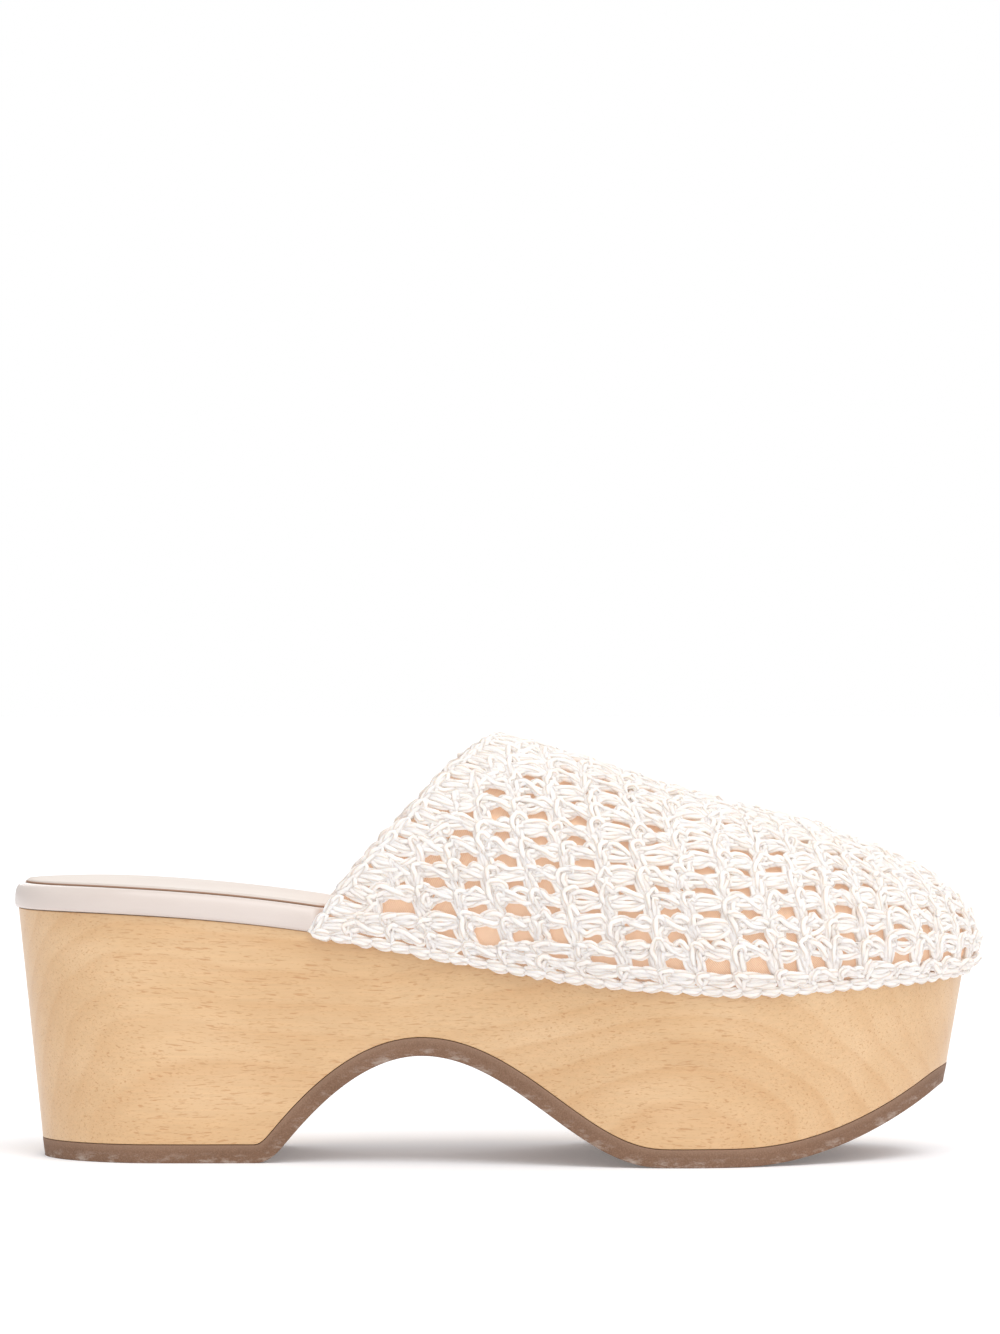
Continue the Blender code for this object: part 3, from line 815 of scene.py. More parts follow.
def yarn_material():
    """Off-white cotton yarn: three plies wound round each other, fine fibres, a soft sheen, painted
    shade in the grooves between the plies and a faint painted glow.
    """
    nodes = Nodes("cotton_yarn")
    strand, along, across_yarn = nodes.uv_axes()
    place = nodes.place()
    around = nodes.math("MULTIPLY", across_yarn, float(PLIES))
    phase = nodes.math("SUBTRACT", around, along)
    angle = nodes.math("MULTIPLY", phase, 2.0 * math.pi)
    plies = nodes.math("COSINE", angle)
    swell = nodes.math("MULTIPLY_ADD", plies, 0.5, 0.5)
    groove = nodes.ramp(swell, (0.0, 0.0), (0.22, 0.80), (1.0, 1.0))
    fibres = nodes.noise(strand, (7.0, 9.0, 1.0), 1.0, 4.0, 0.65)
    tone = nodes.noise(place, (90.0, 90.0, 90.0), 1.0, 3.0, 0.6)
    base = nodes.ramp(tone, (0.3, YARN_DARK), (0.7, YARN_LIGHT))
    fibre_tone = nodes.ramp(fibres, (0.25, 0.95), (0.7, 1.02))
    colour = nodes.mix(1.0, base, fibre_tone, "MULTIPLY")
    # Painted shade: the colour darkens in the grooves between the plies.
    groove_shade = nodes.ramp(groove, (0.0, GROOVE_SHADE), (0.7, WHITE))
    colour = nodes.mix(1.0, colour, groove_shade, "MULTIPLY")
    nodes.link(colour, nodes.shader, "Base Color")
    # The emission is a painted glow, standing in for light scattered through the cotton.
    nodes.settle({
        "Roughness": 0.85, "Specular IOR Level": 0.25, "Sheen Weight": 0.25,
        "Sheen Roughness": 0.5, "Subsurface Weight": 0.35, "Subsurface Radius": (1.0, 0.75, 0.55),
        "Subsurface Scale": 0.0016, "Emission Color": YARN_GLOW,
        "Emission Strength": YARN_GLOW_STRENGTH,
    })
    first = nodes.bump(groove, 0.8, 0.0004)
    nodes.bump(fibres, 0.45, 0.0002, first)
    return nodes.material


def lining_material():
    """Peach plain-woven lining: threads across and along, each crossing a pale speck, and a painted
    glow for light through the thin cloth.
    """
    nodes = Nodes("woven_lining")
    cloth, *axes = nodes.uv_axes()
    waves = []
    for axis in axes:
        turned = nodes.math("MULTIPLY", axis, 2.0 * math.pi / WEAVE_PERIOD)
        waves.append(nodes.math("SINE", turned))
    product = nodes.math("MULTIPLY", *waves)
    slub = nodes.noise(cloth, (1.1, 0.35, 1.0), 1.0, 3.0, 0.6)
    weave = nodes.ramp(product, *zip((0.0, 0.45, 1.0), LINING_TONES))
    tone = nodes.ramp(slub, (0.3, 0.90), (0.7, 1.06))
    colour = nodes.mix(1.0, weave, tone, "MULTIPLY")
    nodes.link(colour, nodes.shader, "Base Color")
    # The emission is a painted glow, standing in for light through the thin cloth.
    nodes.settle({
        "Roughness": 0.9, "Specular IOR Level": 0.2, "Emission Color": LINING_GLOW,
        "Emission Strength": THROUGH_LIGHT,
    })
    nodes.bump(product, 0.4, 0.0001)
    return nodes.material


THROAT_X = THROAT_PLACE * SOLE_LENGTH
START_X = UPPER_START_PLACE * SOLE_LENGTH
TOE_X = TOE_CENTRE_PLACE * SOLE_LENGTH


def collar_x(turn):
    """X of the collar's edge, rising from its foot at the hem to the throat on the ridge.

    The yarn puffs out past the line it is laid on, and pulls it a little hollow half way up.
    """
    bowed = np.sin(turn * math.pi / 2.0)
    eased = (1.0 - np.cos(turn * math.pi)) / 2.0
    edge_x = START_X + (THROAT_X - START_X) * (COLLAR_BOW * bowed + (1.0 - COLLAR_BOW) * eased)
    hollow = np.sin(np.clip(turn / COLLAR_HOLLOW_TURN, 0.0, 1.0) * math.pi)
    return edge_x + COLLAR_INSET + COLLAR_HOLLOW * hollow


class Half:
    """One side of the upper as ribs that start at even steps along the hem and lean backward."""

    def __init__(self, side, places):
        turns = np.linspace(0.0, 1.0, TURN_STEPS + 1)
        place, turn = np.meshgrid(places, turns, indexing="ij")
        hem_x = np.minimum(place, TOE_CENTRE_PLACE) * SOLE_LENGTH
        _, _, ridge_z = ridge_point(hem_x)
        rise = ridge_z - top_height(place)
        fade = 1.0 - smooth_step(place, TOE_PART_PLACE, TOE_CENTRE_PLACE)
        x = hem_x - COLUMN_LEAN * fade * rise * np.sin(turn * math.pi / 2.0)
        self.x, self.turn = x, turn
        self.points = form_point(side, place, x, turn)
        step = NORMAL_STEP
        along = form_point(side, place + step, np.minimum(x + step * SOLE_LENGTH, TOE_X), turn)
        along = along - form_point(side, place - step, x - step * SOLE_LENGTH, turn)
        up = form_point(side, place, x, turn + step) - form_point(side, place, x, turn - step)
        normals = np.cross(along, up) * side
        lengths = np.linalg.norm(normals, axis=2, keepdims=True)
        normals = -unit(normals, 1e-15)
        top = np.array((-THROAT_SLOPE, 0.0, 1.0))
        for rib in range(len(places)):
            weak = lengths[rib, :, 0] < 1e-13
            if weak.any() and not weak.all():
                normals[rib, weak] = normals[rib, ~weak][-1]
        normals[:, -1, 1] = 0.0
        normals[:, -1] = unit(normals[:, -1], 1e-12)
        weak_top = normals[:, -1, 2] < 0.3
        normals[weak_top, -1] = unit(top)
        self.normals = normals
        self.runs = run_along(self.points)


def hem_places():
    """Places on the hem at even steps along it, a few to each column of stitches."""
    angles = np.linspace(math.pi / 2.0, 0.0, 300)
    straight = np.linspace(UPPER_START_PLACE, 1.0 - TOE_ROUND / SOLE_LENGTH, 300)[:-1]
    dense = np.concatenate((straight, 1.0 - TOE_ROUND / SOLE_LENGTH * (1.0 - np.cos(angles))))
    steps = 0.0
    for side in (-1, 1):
        x, y, z = hem_point(side, dense)
        steps = steps + np.sqrt(np.diff(x) ** 2 + np.diff(y) ** 2 + np.diff(z) ** 2) / 2.0
    lengths = np.concatenate(((0.0,), np.cumsum(steps)))
    columns = round(lengths[-1] / COLUMN_PITCH)
    runs = np.linspace(0.0, lengths[-1], columns * RIB_STEPS + 1)
    return np.interp(runs, lengths, dense)


PLACES = hem_places()
HALVES = {side: Half(side, PLACES) for side in (-1, 1)}
REACH = (HALVES[-1].runs[:, -1] + HALVES[1].runs[:, -1]) / 2.0


def row_levels():
    """Distance from the hem of every point of both halves, rounded at the ridge."""
    toe_rib = np.searchsorted(PLACES, TOE_CENTRE_PLACE)
    reach = np.where(PLACES > TOE_CENTRE_PLACE, REACH[toe_rib], REACH)[:, None]
    levels = {}
    for side, half in HALVES.items():
        distance = half.runs / half.runs[:, -1:] * reach
        left = reach - distance

        def rounded(rest):
            return np.sqrt(rest * rest + RIDGE_ROUNDING ** 2) - RIDGE_ROUNDING

        levels[side] = reach * (1.0 - rounded(left) / rounded(reach))
    return levels, reach[:, 0]


LEVELS, LEVEL_REACH = row_levels()
TOE_PART_RIB = int(np.searchsorted(PLACES, TOE_PART_PLACE))
HEM_HEIGHTS = hem_point(-1, PLACES)[2]
LIFT = np.maximum.accumulate(HEM_HEIGHTS[0] - HEM_HEIGHTS)
LAST_COLUMN = 2 * (len(PLACES) - 1) / RIB_STEPS


class Row:
    """A row of stitches over the upper: along the hem, or level like the floor."""

    def __init__(self, distance, level=True):
        targets = distance + LIFT if level else np.full(len(PLACES), distance)
        clear = targets > FIRST_ROW + ROW_START * ROW_PITCH
        self.start = float(np.argmax(clear)) / RIB_STEPS if level else 0.0
        if level:
            targets = np.maximum(targets, FIRST_ROW)
        crossing = LEVEL_REACH < targets
        end = int(np.argmax(crossing)) if crossing.any() else len(PLACES)
        self.toe_first = min(TOE_PART_RIB, max(end - TIP_COLUMNS * RIB_STEPS, 0)) / RIB_STEPS
        ribs = []
        for side, half in HALVES.items():
            part = []
            for rib in range(end):
                turn = np.interp(targets[rib], LEVELS[side][rib], half.turn[rib])
                low = min(int(turn * TURN_STEPS), TURN_STEPS - 1)
                share = turn * TURN_STEPS - low
                between = [values[rib, low] * (1.0 - share) + values[rib, low + 1] * share
                           for values in (half.points, half.normals, half.x)]
                column = rib / RIB_STEPS if side < 0 else LAST_COLUMN - rib / RIB_STEPS
                part.append((*between, turn, column))
            if side > 0:
                part = part[::-1][1:] if end == len(PLACES) else part[::-1]
            ribs += part
        self.points, normals, self.xs, self.turns, self.columns = (
            np.array(values) for values in zip(*ribs))
        self.normals = unit(normals)
        self.runs = run_along(self.points)
        self.shares = self.even_toe(self.toe_first)
        fine = np.linspace(self.shares[0], self.shares[-1], ROW_STEPS)
        self.fine_points, self.fine_normals = self.at(fine)

    def even_toe(self, first):
        """Column numbers, with the round of the toe shared out evenly by length."""
        last = LAST_COLUMN - first
        inside = (self.columns >= first) & (self.columns <= last)
        shares = self.columns.copy()
        if inside.sum() > 2:
            runs = self.runs[inside]
            shares[inside] = first + (last - first) * (runs - runs[0]) / (runs[-1] - runs[0])
        return shares

    def length(self, first, last):
        """Length of the row between two column numbers."""
        runs = np.interp((first, last), self.shares, self.runs)
        return runs[1] - runs[0]

    def at(self, share):
        """Points and normals of the row at column numbers."""
        point = [np.interp(share, self.shares, self.points[:, axis]) for axis in range(3)]
        normal = [np.interp(share, self.shares, self.normals[:, axis]) for axis in range(3)]
        return np.stack(point, axis=-1), np.stack(normal, axis=-1)

    def beneath(self, upper_row, points, share):
        """The row's points and normals under points of the row above it."""
        round_toe = self.toe_first == upper_row.toe_first
        if round_toe or share < self.toe_first or share > LAST_COLUMN - self.toe_first:
            return None
        gaps = np.linalg.norm(self.fine_points[None, :, :] - points[:, None, :], axis=2)
        near = np.argmin(gaps, axis=1)
        return self.fine_points[near], self.fine_normals[near]

    def ends(self):
        """Column numbers where the row comes out of the collar's band or the hem on both sides."""
        margin = self.xs - collar_x(self.turns) - BAND_WIDTH
        if margin.max() < 0.0:
            return 0.0, 0.0
        middle = len(margin) // 2
        first = np.interp(0.0, margin[:middle], self.shares[:middle])
        last = np.interp(0.0, margin[middle:][::-1], self.shares[middle:][::-1])
        first = max(first - BAND_OVERLAP, self.start)
        return first, min(last + BAND_OVERLAP, LAST_COLUMN - self.start)


class RidgeRow:
    """The row of stitches along the ridge, from the collar's band to the round of the toe."""

    def __init__(self):
        xs = np.linspace(THROAT_X + RIDGE_START * BAND_WIDTH, TOE_X, RIDGE_STEPS)
        self.points = side_point(-1, xs, np.ones(len(xs)))
        along = np.gradient(self.points, axis=0)
        normals = np.stack((-along[:, 2], np.zeros(len(xs)), along[:, 0]), axis=-1)
        self.normals = unit(normals)
        run = run_along(self.points)
        self.cells = round(run[-1] / TOE_PITCH)
        self.shares = run / run[-1] * self.cells

    at = Row.at


class SideNet:
    """All points of one side's rows, to find the one next to the ridge row."""

    def __init__(self, rows, side):
        points = np.concatenate([row.fine_points for row in rows])
        own = points[:, 1] * side > 0.0
        self.points = points[own]
        self.normals = np.concatenate([row.fine_normals for row in rows])[own]

    def beneath(self, upper_row, points, share):
        """One point of the side's rows for all points of a ridge stitch, clear of the ridge."""
        middle = points.mean(axis=0)
        gaps = np.linalg.norm(self.points - middle, axis=1)
        gaps[gaps < RIDGE_CLEAR * ROW_PITCH] = np.inf
        near = np.argmin(gaps)
        return self.points[near] + 0.0 * points, self.normals[near] + 0.0 * points


class YarnMesh:
    """Gathers closed loops of yarn into one mesh."""

    def __init__(self):
        self.points, self.faces, self.uvs, self.count = [], [], [], 0

    def loop(self, path, outward, radius):
        """A closed tube along a closed path, with plies wound round it."""
        count = len(path)
        tangent = unit(np.roll(path, -1, axis=0) - np.roll(path, 1, axis=0))
        side = unit(np.cross(tangent, outward), 1e-9)
        out = np.cross(side, tangent)
        run = run_along(np.concatenate((path, path[:1])))
        turns = max(1, round(run[-1] / PLY_TURN))
        angle = np.arange(YARN_SIDES) * 2.0 * math.pi / YARN_SIDES
        wound = 2.0 * math.pi * turns * run[:-1] / run[-1]
        grooved = radius * (1.0 + PLY_DEPTH * np.cos(PLIES * angle[None, :] - wound[:, None]))
        ring = (side[:, None, :] * np.cos(angle)[None, :, None] + YARN_FLAT * out[:, None, :]
                * np.sin(angle)[None, :, None]) * grooved[..., None]
        points = path[:, None, :] + ring
        faces = grid_faces(count + 1, YARN_SIDES, True) % (count * YARN_SIDES) + self.count
        along = rng.integers(0, PLY_STARTS) + turns * run / run[-1]
        around = np.arange(YARN_SIDES + 1) / YARN_SIDES
        low_u, high_u = along[:-1, None], along[1:, None]
        low_v, high_v = around[None, :-1], around[None, 1:]
        us = np.stack(np.broadcast_arrays(low_u, low_u, high_u, high_u + 0.0 * low_v), axis=-1)
        vs = np.stack(np.broadcast_arrays(low_v, high_v, high_v, low_v + 0.0 * low_u), axis=-1)
        self.points.append(points.reshape(-1, 3))
        self.faces.append(faces)
        self.uvs.append(np.stack((us, vs), axis=-1).reshape(-1, 2))
        self.count += count * YARN_SIDES

    def piece(self, name, material):
        """The gathered loops as one piece of the upper."""
        return mesh_piece(name, np.concatenate(self.points), [np.concatenate(self.faces)],
                          "upper", material, np.concatenate(self.uvs))


def closed_curve(knots, step):
    """A smooth closed curve through knots (rows of any width), at even steps by its first three."""
    count = len(knots)
    share = (np.arange(CURVE_STEPS) / CURVE_STEPS)[None, :, None]
    before, here, after, later = (np.roll(knots, shift, axis=0)[:, None, :]
                                  for shift in (1, 0, -1, -2))
    curve = 0.5 * (2.0 * here + (after - before) * share
                   + (2.0 * before - 5.0 * here + 4.0 * after - later) * share ** 2
                   + (3.0 * here - before - 3.0 * after + later) * share ** 3)
    curve = curve.reshape(count * CURVE_STEPS, -1)
    closed = np.concatenate((curve, curve[:1]))
    run = run_along(closed[:, :3])
    samples = max(8, round(run[-1] / step))
    even = np.linspace(0.0, run[-1], samples, endpoint=False)
    return np.stack([np.interp(even, run, closed[:, i]) for i in range(closed.shape[1])], axis=-1)


# Loops of a stitch, as three rows: along the row in cells, up in rows, depth in millimetres
BAR = (
    (0.12, 0.18, 0.36, 0.60, 0.82, 0.99, 0.88, 0.68, 0.44, 0.22),
    (-0.04, 0.12, 0.20, 0.18, 0.09, -0.04, -0.15, -0.19, -0.19, -0.16),
    (1.8, 1.0, 0.35, 0.30, 0.70, 1.8, 1.05, 0.50, 0.50, 1.1),
)
ROPE = (
    (0.12, 0.17, 0.34, 0.58, 0.82, 0.99, 0.92, 0.72, 0.48, 0.25),
    (0.02, 0.18, 0.20, 0.02, -0.15, -0.08, 0.10, 0.19, 0.02, -0.19),
    (1.8, 0.9, 0.35, 0.25, 0.65, 1.8, 1.0, 0.70, 1.50, 0.9),
)
CORE = (
    (0.14, 0.36, 0.64, 0.90, 0.68, 0.40),
    (0.00, 0.09, 0.07, -0.01, -0.08, -0.07),
    (1.8, 0.75, 0.65, 1.8, 0.85, 0.75),
)
POST = (
    (0.12, 0.06, 0.04, 0.05, 0.09, 0.13, 0.18, 0.20, 0.21, 0.18),
    (0.08, -0.08, -0.40, -0.78, -0.98, -1.02, -0.90, -0.55, -0.22, 0.02),
    (1.7, 1.4, 1.20, 1.40, 1.8, 1.8, 1.7, 1.30, 1.20, 1.5),
)
HOOK = (
    (0.03, 0.00, 0.03, 0.14, 0.27, 0.33, 0.24, 0.16, 0.14, 0.12),
    (-0.42, -0.12, 0.12, 0.22, 0.19, 0.06, 0.01, -0.03, -0.22, -0.42),
    (1.6, 0.75, 0.35, 0.25, 0.40, 1.15, 0.80, 0.50, 0.85, 1.6),
)
LEG = (
    (-0.13, -0.10, -0.07, -0.02, -0.03, -0.07),
    (0.02, -0.35, -0.74, -0.92, -0.45, -0.02),
    (1.4, 1.1, 1.4, 1.8, 1.3, 1.4),
)
HEM_LOOP = (
    (-0.02, 0.14, 0.38, 0.66, 0.90, 1.10, 0.94, 0.68, 0.40, 0.12),
    (-0.02, 0.07, 0.11, 0.10, 0.06, 0.03, -0.07, -0.11, -0.11, -0.10),
    (1.7, 1.0, 0.50, 0.45, 0.70, 1.5, 0.95, 0.45, 0.40, 0.9),
)


def knots_of(template, jitter):
    """A template's knots, each moved a little."""
    knots = np.stack(template, axis=-1)
    return knots + rng.normal(0.0, 1.0, knots.shape) * np.array(KNOT_JITTER) * jitter


def stitch_loop(yarn, template, upper_row, lower_row, first, last, jitter, lift=0.0, tilt=0.0,
                thick=1.0):
    """One loop of a stitch between two columns of a row, hung towards the row under it."""
    knots = knots_of(template, jitter)
    share = first + (last - first) * knots[:, 0]
    up = knots[:, 1] * thick + lift + tilt * (knots[:, 0] - 0.5)
    high, high_out = upper_row.at(share)
    low, low_out = lower_row.beneath(upper_row, high, (first + last) / 2.0) or lower_row.at(share)
    outward = unit((1.0 + up[:, None]) * high_out - up[:, None] * low_out)
    radius = YARN_RADIUS * rng.uniform(*YARN_SPREAD)
    depth = np.minimum(knots[:, 2:] / 1000.0, LINING_DEPTH - radius)
    points = (1.0 + up[:, None]) * high - up[:, None] * low - outward * depth
    curve = closed_curve(np.concatenate((points, outward), axis=1), YARN_STEP)
    yarn.loop(curve[:, :3], curve[:, 3:], radius)


def stitch(yarn, row, under, low, high, thick, tilt, hung):
    """The loops of one stitch: a bar and its core, a hook over its end and two posts under it."""
    template = ROPE if rng.uniform() < ROPE_SHARE else BAR
    drift = rng.normal(0.0, BAR_DRIFT)
    tilt += rng.normal(0.0, TILT_SPREAD)
    full = thick * rng.uniform(*BAR_SPREAD)
    stitch_loop(yarn, template, row, under, low, high, BAR_JITTER, drift, tilt, full)
    stitch_loop(yarn, CORE, row, under, low, high, CORE_JITTER, drift, tilt, full)
    hook_tilt = rng.normal(0.0, HOOK_TILT_SPREAD)
    stitch_loop(yarn, HOOK, row, under, low, high, HOOK_JITTER, drift, hook_tilt, full)
    if hung:
        stitch_loop(yarn, POST, row, under, low, high, POST_JITTER)
        stitch_loop(yarn, LEG, row, under, low, high, POST_JITTER)


def cell_bounds(row, first, last):
    """Column numbers between which a row's stitches lie, from band to band round the toe."""
    start = math.floor(row.toe_first)
    bounds = [first]
    bounds += [float(c) for c in range(math.ceil(first + SHORT_CELL), start + 1)]
    start = bounds[-1]
    cells = max(1, round(row.length(start, LAST_COLUMN - start) / TOE_PITCH))
    bounds += list(np.linspace(start, LAST_COLUMN - start, cells + 1))[1:]
    side_columns = [LAST_COLUMN - c for c in reversed(bounds[1:]) if c < start - 0.01]
    return [c for c in bounds + side_columns if c < last - SHORT_CELL] + [last]


CROCHET_PIECES = ("crochet_low", "crochet_lower_middle", "crochet_middle", "crochet_upper_middle",
                  "crochet_high", "crochet_ridge")


def crochet(material):
    """Rows of bars and posts over the whole upper, in pieces by row."""
    rows = [Row(HEM_ROW, level=False), Row(FIRST_ROW, level=False)]
    distance = FIRST_ROW + ROW_PITCH - math.floor(LIFT.max() / ROW_PITCH) * ROW_PITCH
    highest = (LEVEL_REACH - LIFT).max() - TOP_ROW_GAP * ROW_PITCH
    while distance < highest:
        rows.append(Row(distance))
        distance += ROW_PITCH
    yarns = [YarnMesh() for _ in CROCHET_PIECES]
    for number in range(1, len(rows)):
        row, under = rows[number], rows[number - 1]
        first, last = row.ends()
        if last - first < 1.0:
            continue
        bounds = np.array(cell_bounds(row, first, last))
        bounds[1:-1] += rng.normal(0.0, COLUMN_SHIFT, len(bounds) - 2)
        yarn = yarns[min(len(yarns) - 1, (number - 1) * len(yarns) // (len(rows) - 1))]
        for low, high in zip(bounds, bounds[1:]):
            middle = (low + high) / 2.0
            toe_share = smooth_step(min(middle, LAST_COLUMN - middle), *TOE_TILT_COLUMNS)
            thick = BAR_FULL * (1.0 if number > 1 else HEM_BAR_FULL)
            tilt = BAR_TILT - TOE_TILT * toe_share
            stitch(yarn, row, under, low, high, thick, tilt, number > 1)
    ridge = RidgeRow()
    nets = (SideNet(rows[2:], -1), SideNet(rows[2:], 1))
    for cell in range(ridge.cells):
        stitch(yarns[-1], ridge, nets[cell % 2], cell, cell + 1.0, BAR_FULL, 0.0, True)
    hem = YarnMesh()
    hem_row, above = rows[0], rows[1]
    for half_column in range(2 * round(LAST_COLUMN)):
        low = half_column / 2.0
        tilt = rng.normal(*HEM_TILT)
        stitch_loop(hem, HEM_LOOP, above, hem_row, low, low + 0.5, HEM_JITTER, HEM_DROP, tilt,
                    HEM_FULL)
    for name, yarn in zip(CROCHET_PIECES, yarns):
        yarn.piece(name, material)
    hem.piece("crochet_hem", material)


def band_point(turns, inward):
    """Points and normals of the collar band; turns run 0 to 1 to 2 from outer to inner hem."""
    points = np.zeros((len(turns), 3))
    normals = np.zeros((len(turns), 3))
    for side, chosen in ((-1, turns <= 1.0), (1, turns > 1.0)):
        turn = np.clip(np.where(turns <= 1.0, turns, 2.0 - turns), 0.0, 1.0)[chosen]
        x = collar_x(turn) + inward[chosen]
        step = NORMAL_STEP
        here = side_point(side, x, turn)
        along = side_point(side, x + step, turn) - here
        high = np.minimum(turn + step, 1.0)
        up = side_point(side, x, high) - side_point(side, x, high - 2.0 * step)
        out = np.cross(up, along) * side
        points[chosen] = here
        normals[chosen] = unit(out)
    return points, normals


# Loops of the collar band, in the same three rows
BAND_PUFF = (
    (0.05, 0.14, 0.38, 0.64, 0.86, 0.97, 0.88, 0.66, 0.40, 0.15),
    (0.02, 0.24, 0.34, 0.30, 0.20, 0.02, -0.20, -0.32, -0.34, -0.22),
    (1.9, 1.1, 0.80, 0.80, 1.15, 2.1, 1.2, 0.80, 0.80, 1.1),
)
BAND_CORE = (
    (0.04, 0.26, 0.60, 0.92, 0.70, 0.34),
    (0.08, 0.15, 0.02, -0.06, -0.14, -0.06),
    (1.7, 0.60, 0.75, 1.9, 0.60, 0.75),
)
EDGE_LOOP = (
    (0.01, -0.04, -0.01, 0.09, 0.15, 0.12, 0.04),
    (-0.36, 0.05, 0.46, 0.62, 0.30, -0.08, -0.40),
    (1.7, 1.4, 1.1, 0.70, 0.70, 0.9, 1.2),
)
INNER_LOOP = (
    (0.84, 0.96, 1.10, 1.20, 1.12, 0.96),
    (-0.18, 0.20, 0.62, 0.44, 0.00, -0.36),
    (1.5, 0.80, 0.70, 1.2, 1.6, 1.8),
)
BAND_LOOPS = ((BAND_PUFF, 1.5), (BAND_CORE, 1.0), (EDGE_LOOP, 1.0), (INNER_LOOP, 1.4))


def collar_band(material):
    """The dense band along the collar: puffs lying across it, an edge chain and a joining chain."""
    dense = np.linspace(0.0, 2.0, 801)
    points, _ = band_point(dense, np.zeros(len(dense)))
    run = run_along(points)
    count = round(run[-1] / BAND_PITCH)
    pitch = run[-1] / count
    yarn = YarnMesh()
    for number in range(count):
        centre = (number + 0.5) * pitch
        tilt = rng.normal(*BAND_TILT)
        for template, jitter in BAND_LOOPS:
            knots = knots_of(template, jitter)
            leaned = knots[:, 1] + tilt * (knots[:, 0] - 0.5)
            turns = np.interp(centre + leaned * pitch, run, dense)
            base, outward = band_point(turns, knots[:, 0] * BAND_WIDTH)
            radius = YARN_RADIUS * rng.uniform(*BAND_YARN_SPREAD)
            depth = np.minimum(knots[:, 2:] / 1000.0, LINING_DEPTH - radius)
            knots = np.concatenate((base - outward * depth, outward), axis=1)
            curve = closed_curve(knots, YARN_STEP)
            yarn.loop(curve[:, :3], curve[:, 3:], radius)
    yarn.piece("collar_band", material)


def lining(material):
    """The woven lining: one thin sheet under the yarn, from hem to collar."""
    turns = np.linspace(0.0, 1.0, LINING_TURNS + 1)
    begin = collar_x(turns) + LINING_INSET
    rows, cloth = [], []
    for side in (-1, 1):
        place, turn = np.meshgrid(PLACES, turns, indexing="ij")
        foot = np.minimum(place, TOE_CENTRE_PLACE) * SOLE_LENGTH
        share = np.clip((foot - START_X) / (TOE_X - START_X), 0.0, 1.0)
        x = begin[None, :] + (TOE_X - begin[None, :]) * share
        here = form_point(side, place, x, turn)
        out = form_normals(side, place, x, turn)
        here = here - out * LINING_DEPTH
        run = run_along(here)
        wide = run_along(here[:, LINING_TURNS // 3])
        rows.append(here)
        cloth.append(np.stack((np.broadcast_to(wide[:, None], run.shape), run), axis=-1) * 1000.0)
    both = np.concatenate((rows[0], rows[1][::-1][1:]))
    cloth[1] = cloth[1][::-1][1:]
    faces = grid_faces(len(both), turns.size)
    flat_uv = np.concatenate(cloth).reshape(-1, 2)
    piece = mesh_piece("lining", both.reshape(-1, 3), [faces], "upper", material,
                       flat_uv[faces.ravel()])
    build = bmesh.new()
    build.from_mesh(piece.data)
    bmesh.ops.remove_doubles(build, verts=build.verts, dist=LINING_MERGE)
    bmesh.ops.dissolve_degenerate(build, edges=build.edges, dist=LINING_SPECK)
    bmesh.ops.recalc_face_normals(build, faces=build.faces)
    build.to_mesh(piece.data)
    build.free()
    solid = piece.modifiers.new("thickness", "SOLIDIFY")
    solid.thickness = LINING_THICKNESS
    solid.offset = -1.0


def form_normals(side, place, x, turn):
    """Outward unit normals of the upper's form at places, level across the ridge."""
    step = NORMAL_STEP
    ahead = form_point(side, place + step, np.minimum(x + step * SOLE_LENGTH, TOE_X), turn)
    behind = form_point(side, place - step, x - step * SOLE_LENGTH, turn)
    high = np.minimum(turn + step, 1.0)
    up = form_point(side, place, x, high) - form_point(side, place, x, high - 2.0 * step)
    out = -np.cross(ahead - behind, up) * side
    out = unit(out, 1e-15)
    out[:, -1] = out[:, -2]
    out[:, -1, 1] = 0.0
    out[:, -1] = unit(out[:, -1], 1e-12)
    return out


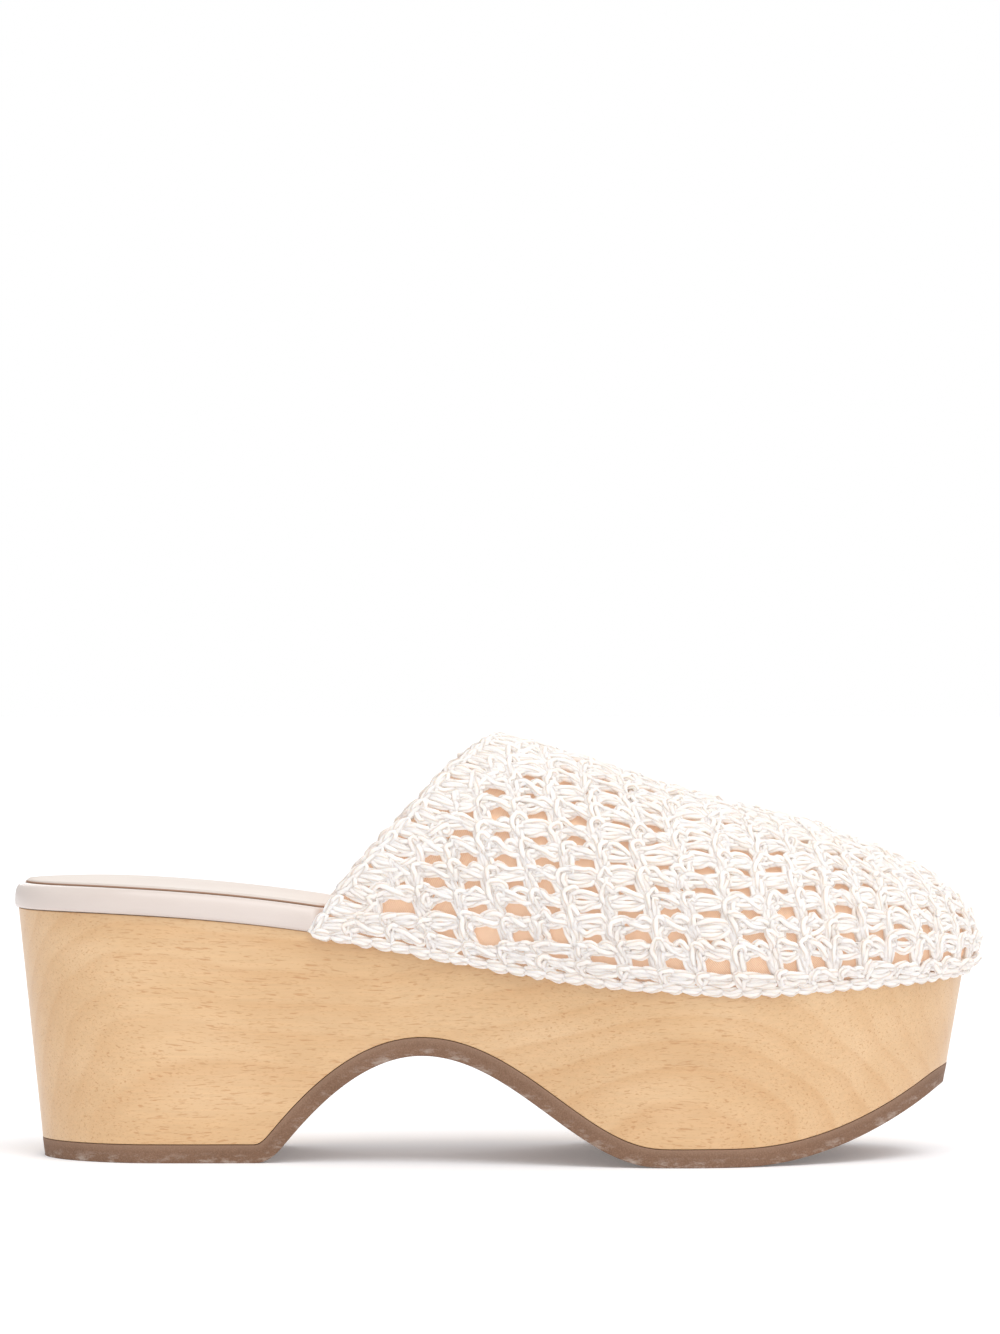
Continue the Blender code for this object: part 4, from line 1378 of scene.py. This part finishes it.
def floor_and_light():
    """A white floor, an even white room and soft light from above, in front and behind."""
    mesh = bpy.data.meshes.new("floor")
    corners = [(FLOOR_REACH * x, FLOOR_REACH * y, 0.0)
               for x, y in ((-1, -1), (1, -1), (1, 1), (-1, 1))]
    mesh.from_pydata(corners, [], [(0, 1, 2, 3)])
    floor = new_object("floor", mesh)
    nodes = Nodes("floor_white")
    nodes.settle({
        "Base Color": FLOOR_COLOUR, "Emission Color": (*WHITE, 1.0),
        "Emission Strength": FLOOR_GLOW, "Roughness": 0.9, "Specular IOR Level": 0.0,
    })
    mesh.materials.append(nodes.material)
    world = bpy.data.worlds.new("room")
    world.use_nodes = True
    tree = world.node_tree
    background = tree.nodes["Background"]
    background.inputs["Color"].default_value = (*WHITE, 1.0)
    path = tree.nodes.new("ShaderNodeLightPath")
    strength = tree.nodes.new("ShaderNodeMix")
    strength.inputs["A"].default_value = ROOM_LIGHT
    strength.inputs["B"].default_value = 1.0
    tree.links.new(path.outputs["Is Camera Ray"], strength.inputs["Factor"])
    tree.links.new(strength.outputs["Result"], background.inputs["Strength"])
    bpy.context.scene.world = world
    for name, angles, size, power in SUNS:
        lamp = bpy.data.lights.new(name, "SUN")
        lamp.angle = math.radians(size)
        lamp.energy = power
        holder = new_object(name, lamp)
        holder.rotation_euler = [math.radians(angle) for angle in angles]
    settings = bpy.context.scene.view_settings
    settings.view_transform = "Standard"
    settings.look = "None"


def camera():
    """The photograph's camera: level with the shoe, a little above it, from its outer side."""
    lens = bpy.data.cameras.new("camera")
    lens.lens = CAMERA_LENS
    lens.sensor_fit = "VERTICAL"
    lens.sensor_width = SENSOR
    lens.sensor_height = SENSOR
    holder = new_object("camera", lens)
    holder.location = CAMERA_PLACE
    holder.rotation_euler = (math.radians(90.0 + CAMERA_PITCH), 0.0, 0.0)
    bpy.context.scene.camera = holder


def sole(wood, rubber):
    """The wooden block and the rubber under it, as the solids have them, in finer sections."""
    places = np.sort(np.append(sole_places(*BLOCK_STEPS), HEEL_BASE / SOLE_LENGTH))
    tread = rounded_tread(places)
    bond = raised_tread(places, OUTSOLE_THICKNESS)
    low = raised_tread(places, OUTSOLE_THICKNESS + BOND_GAP)
    slab("wood_block", list(zip(places, low)), list(zip(places, top_height(places))), WOOD_SOFT,
         "wood_sole", wood)
    slab("rubber_outsole", list(zip(places, tread)), list(zip(places, bond)), RUBBER_SOFT,
         "outsole", rubber)


def main():
    """The camera, the stage and every piece of the shoe."""
    camera()
    floor_and_light()
    sole(wood_material(), rubber_material())
    footbed_piece(leather_material("rim_leather", RIM_LIGHT, RIM_DARK, 1400.0, 0.38, 0.25))
    insole_piece(leather_material("sock_leather", SOCK_LIGHT, SOCK_DARK, 1100.0, 0.70, 0.0))
    # A thin dark line of painted shade in the seam gap beside the rim
    seam_shade_line(seam_shade_material())
    lining(lining_material())
    yarn = yarn_material()
    crochet(yarn)
    collar_band(yarn)


main()
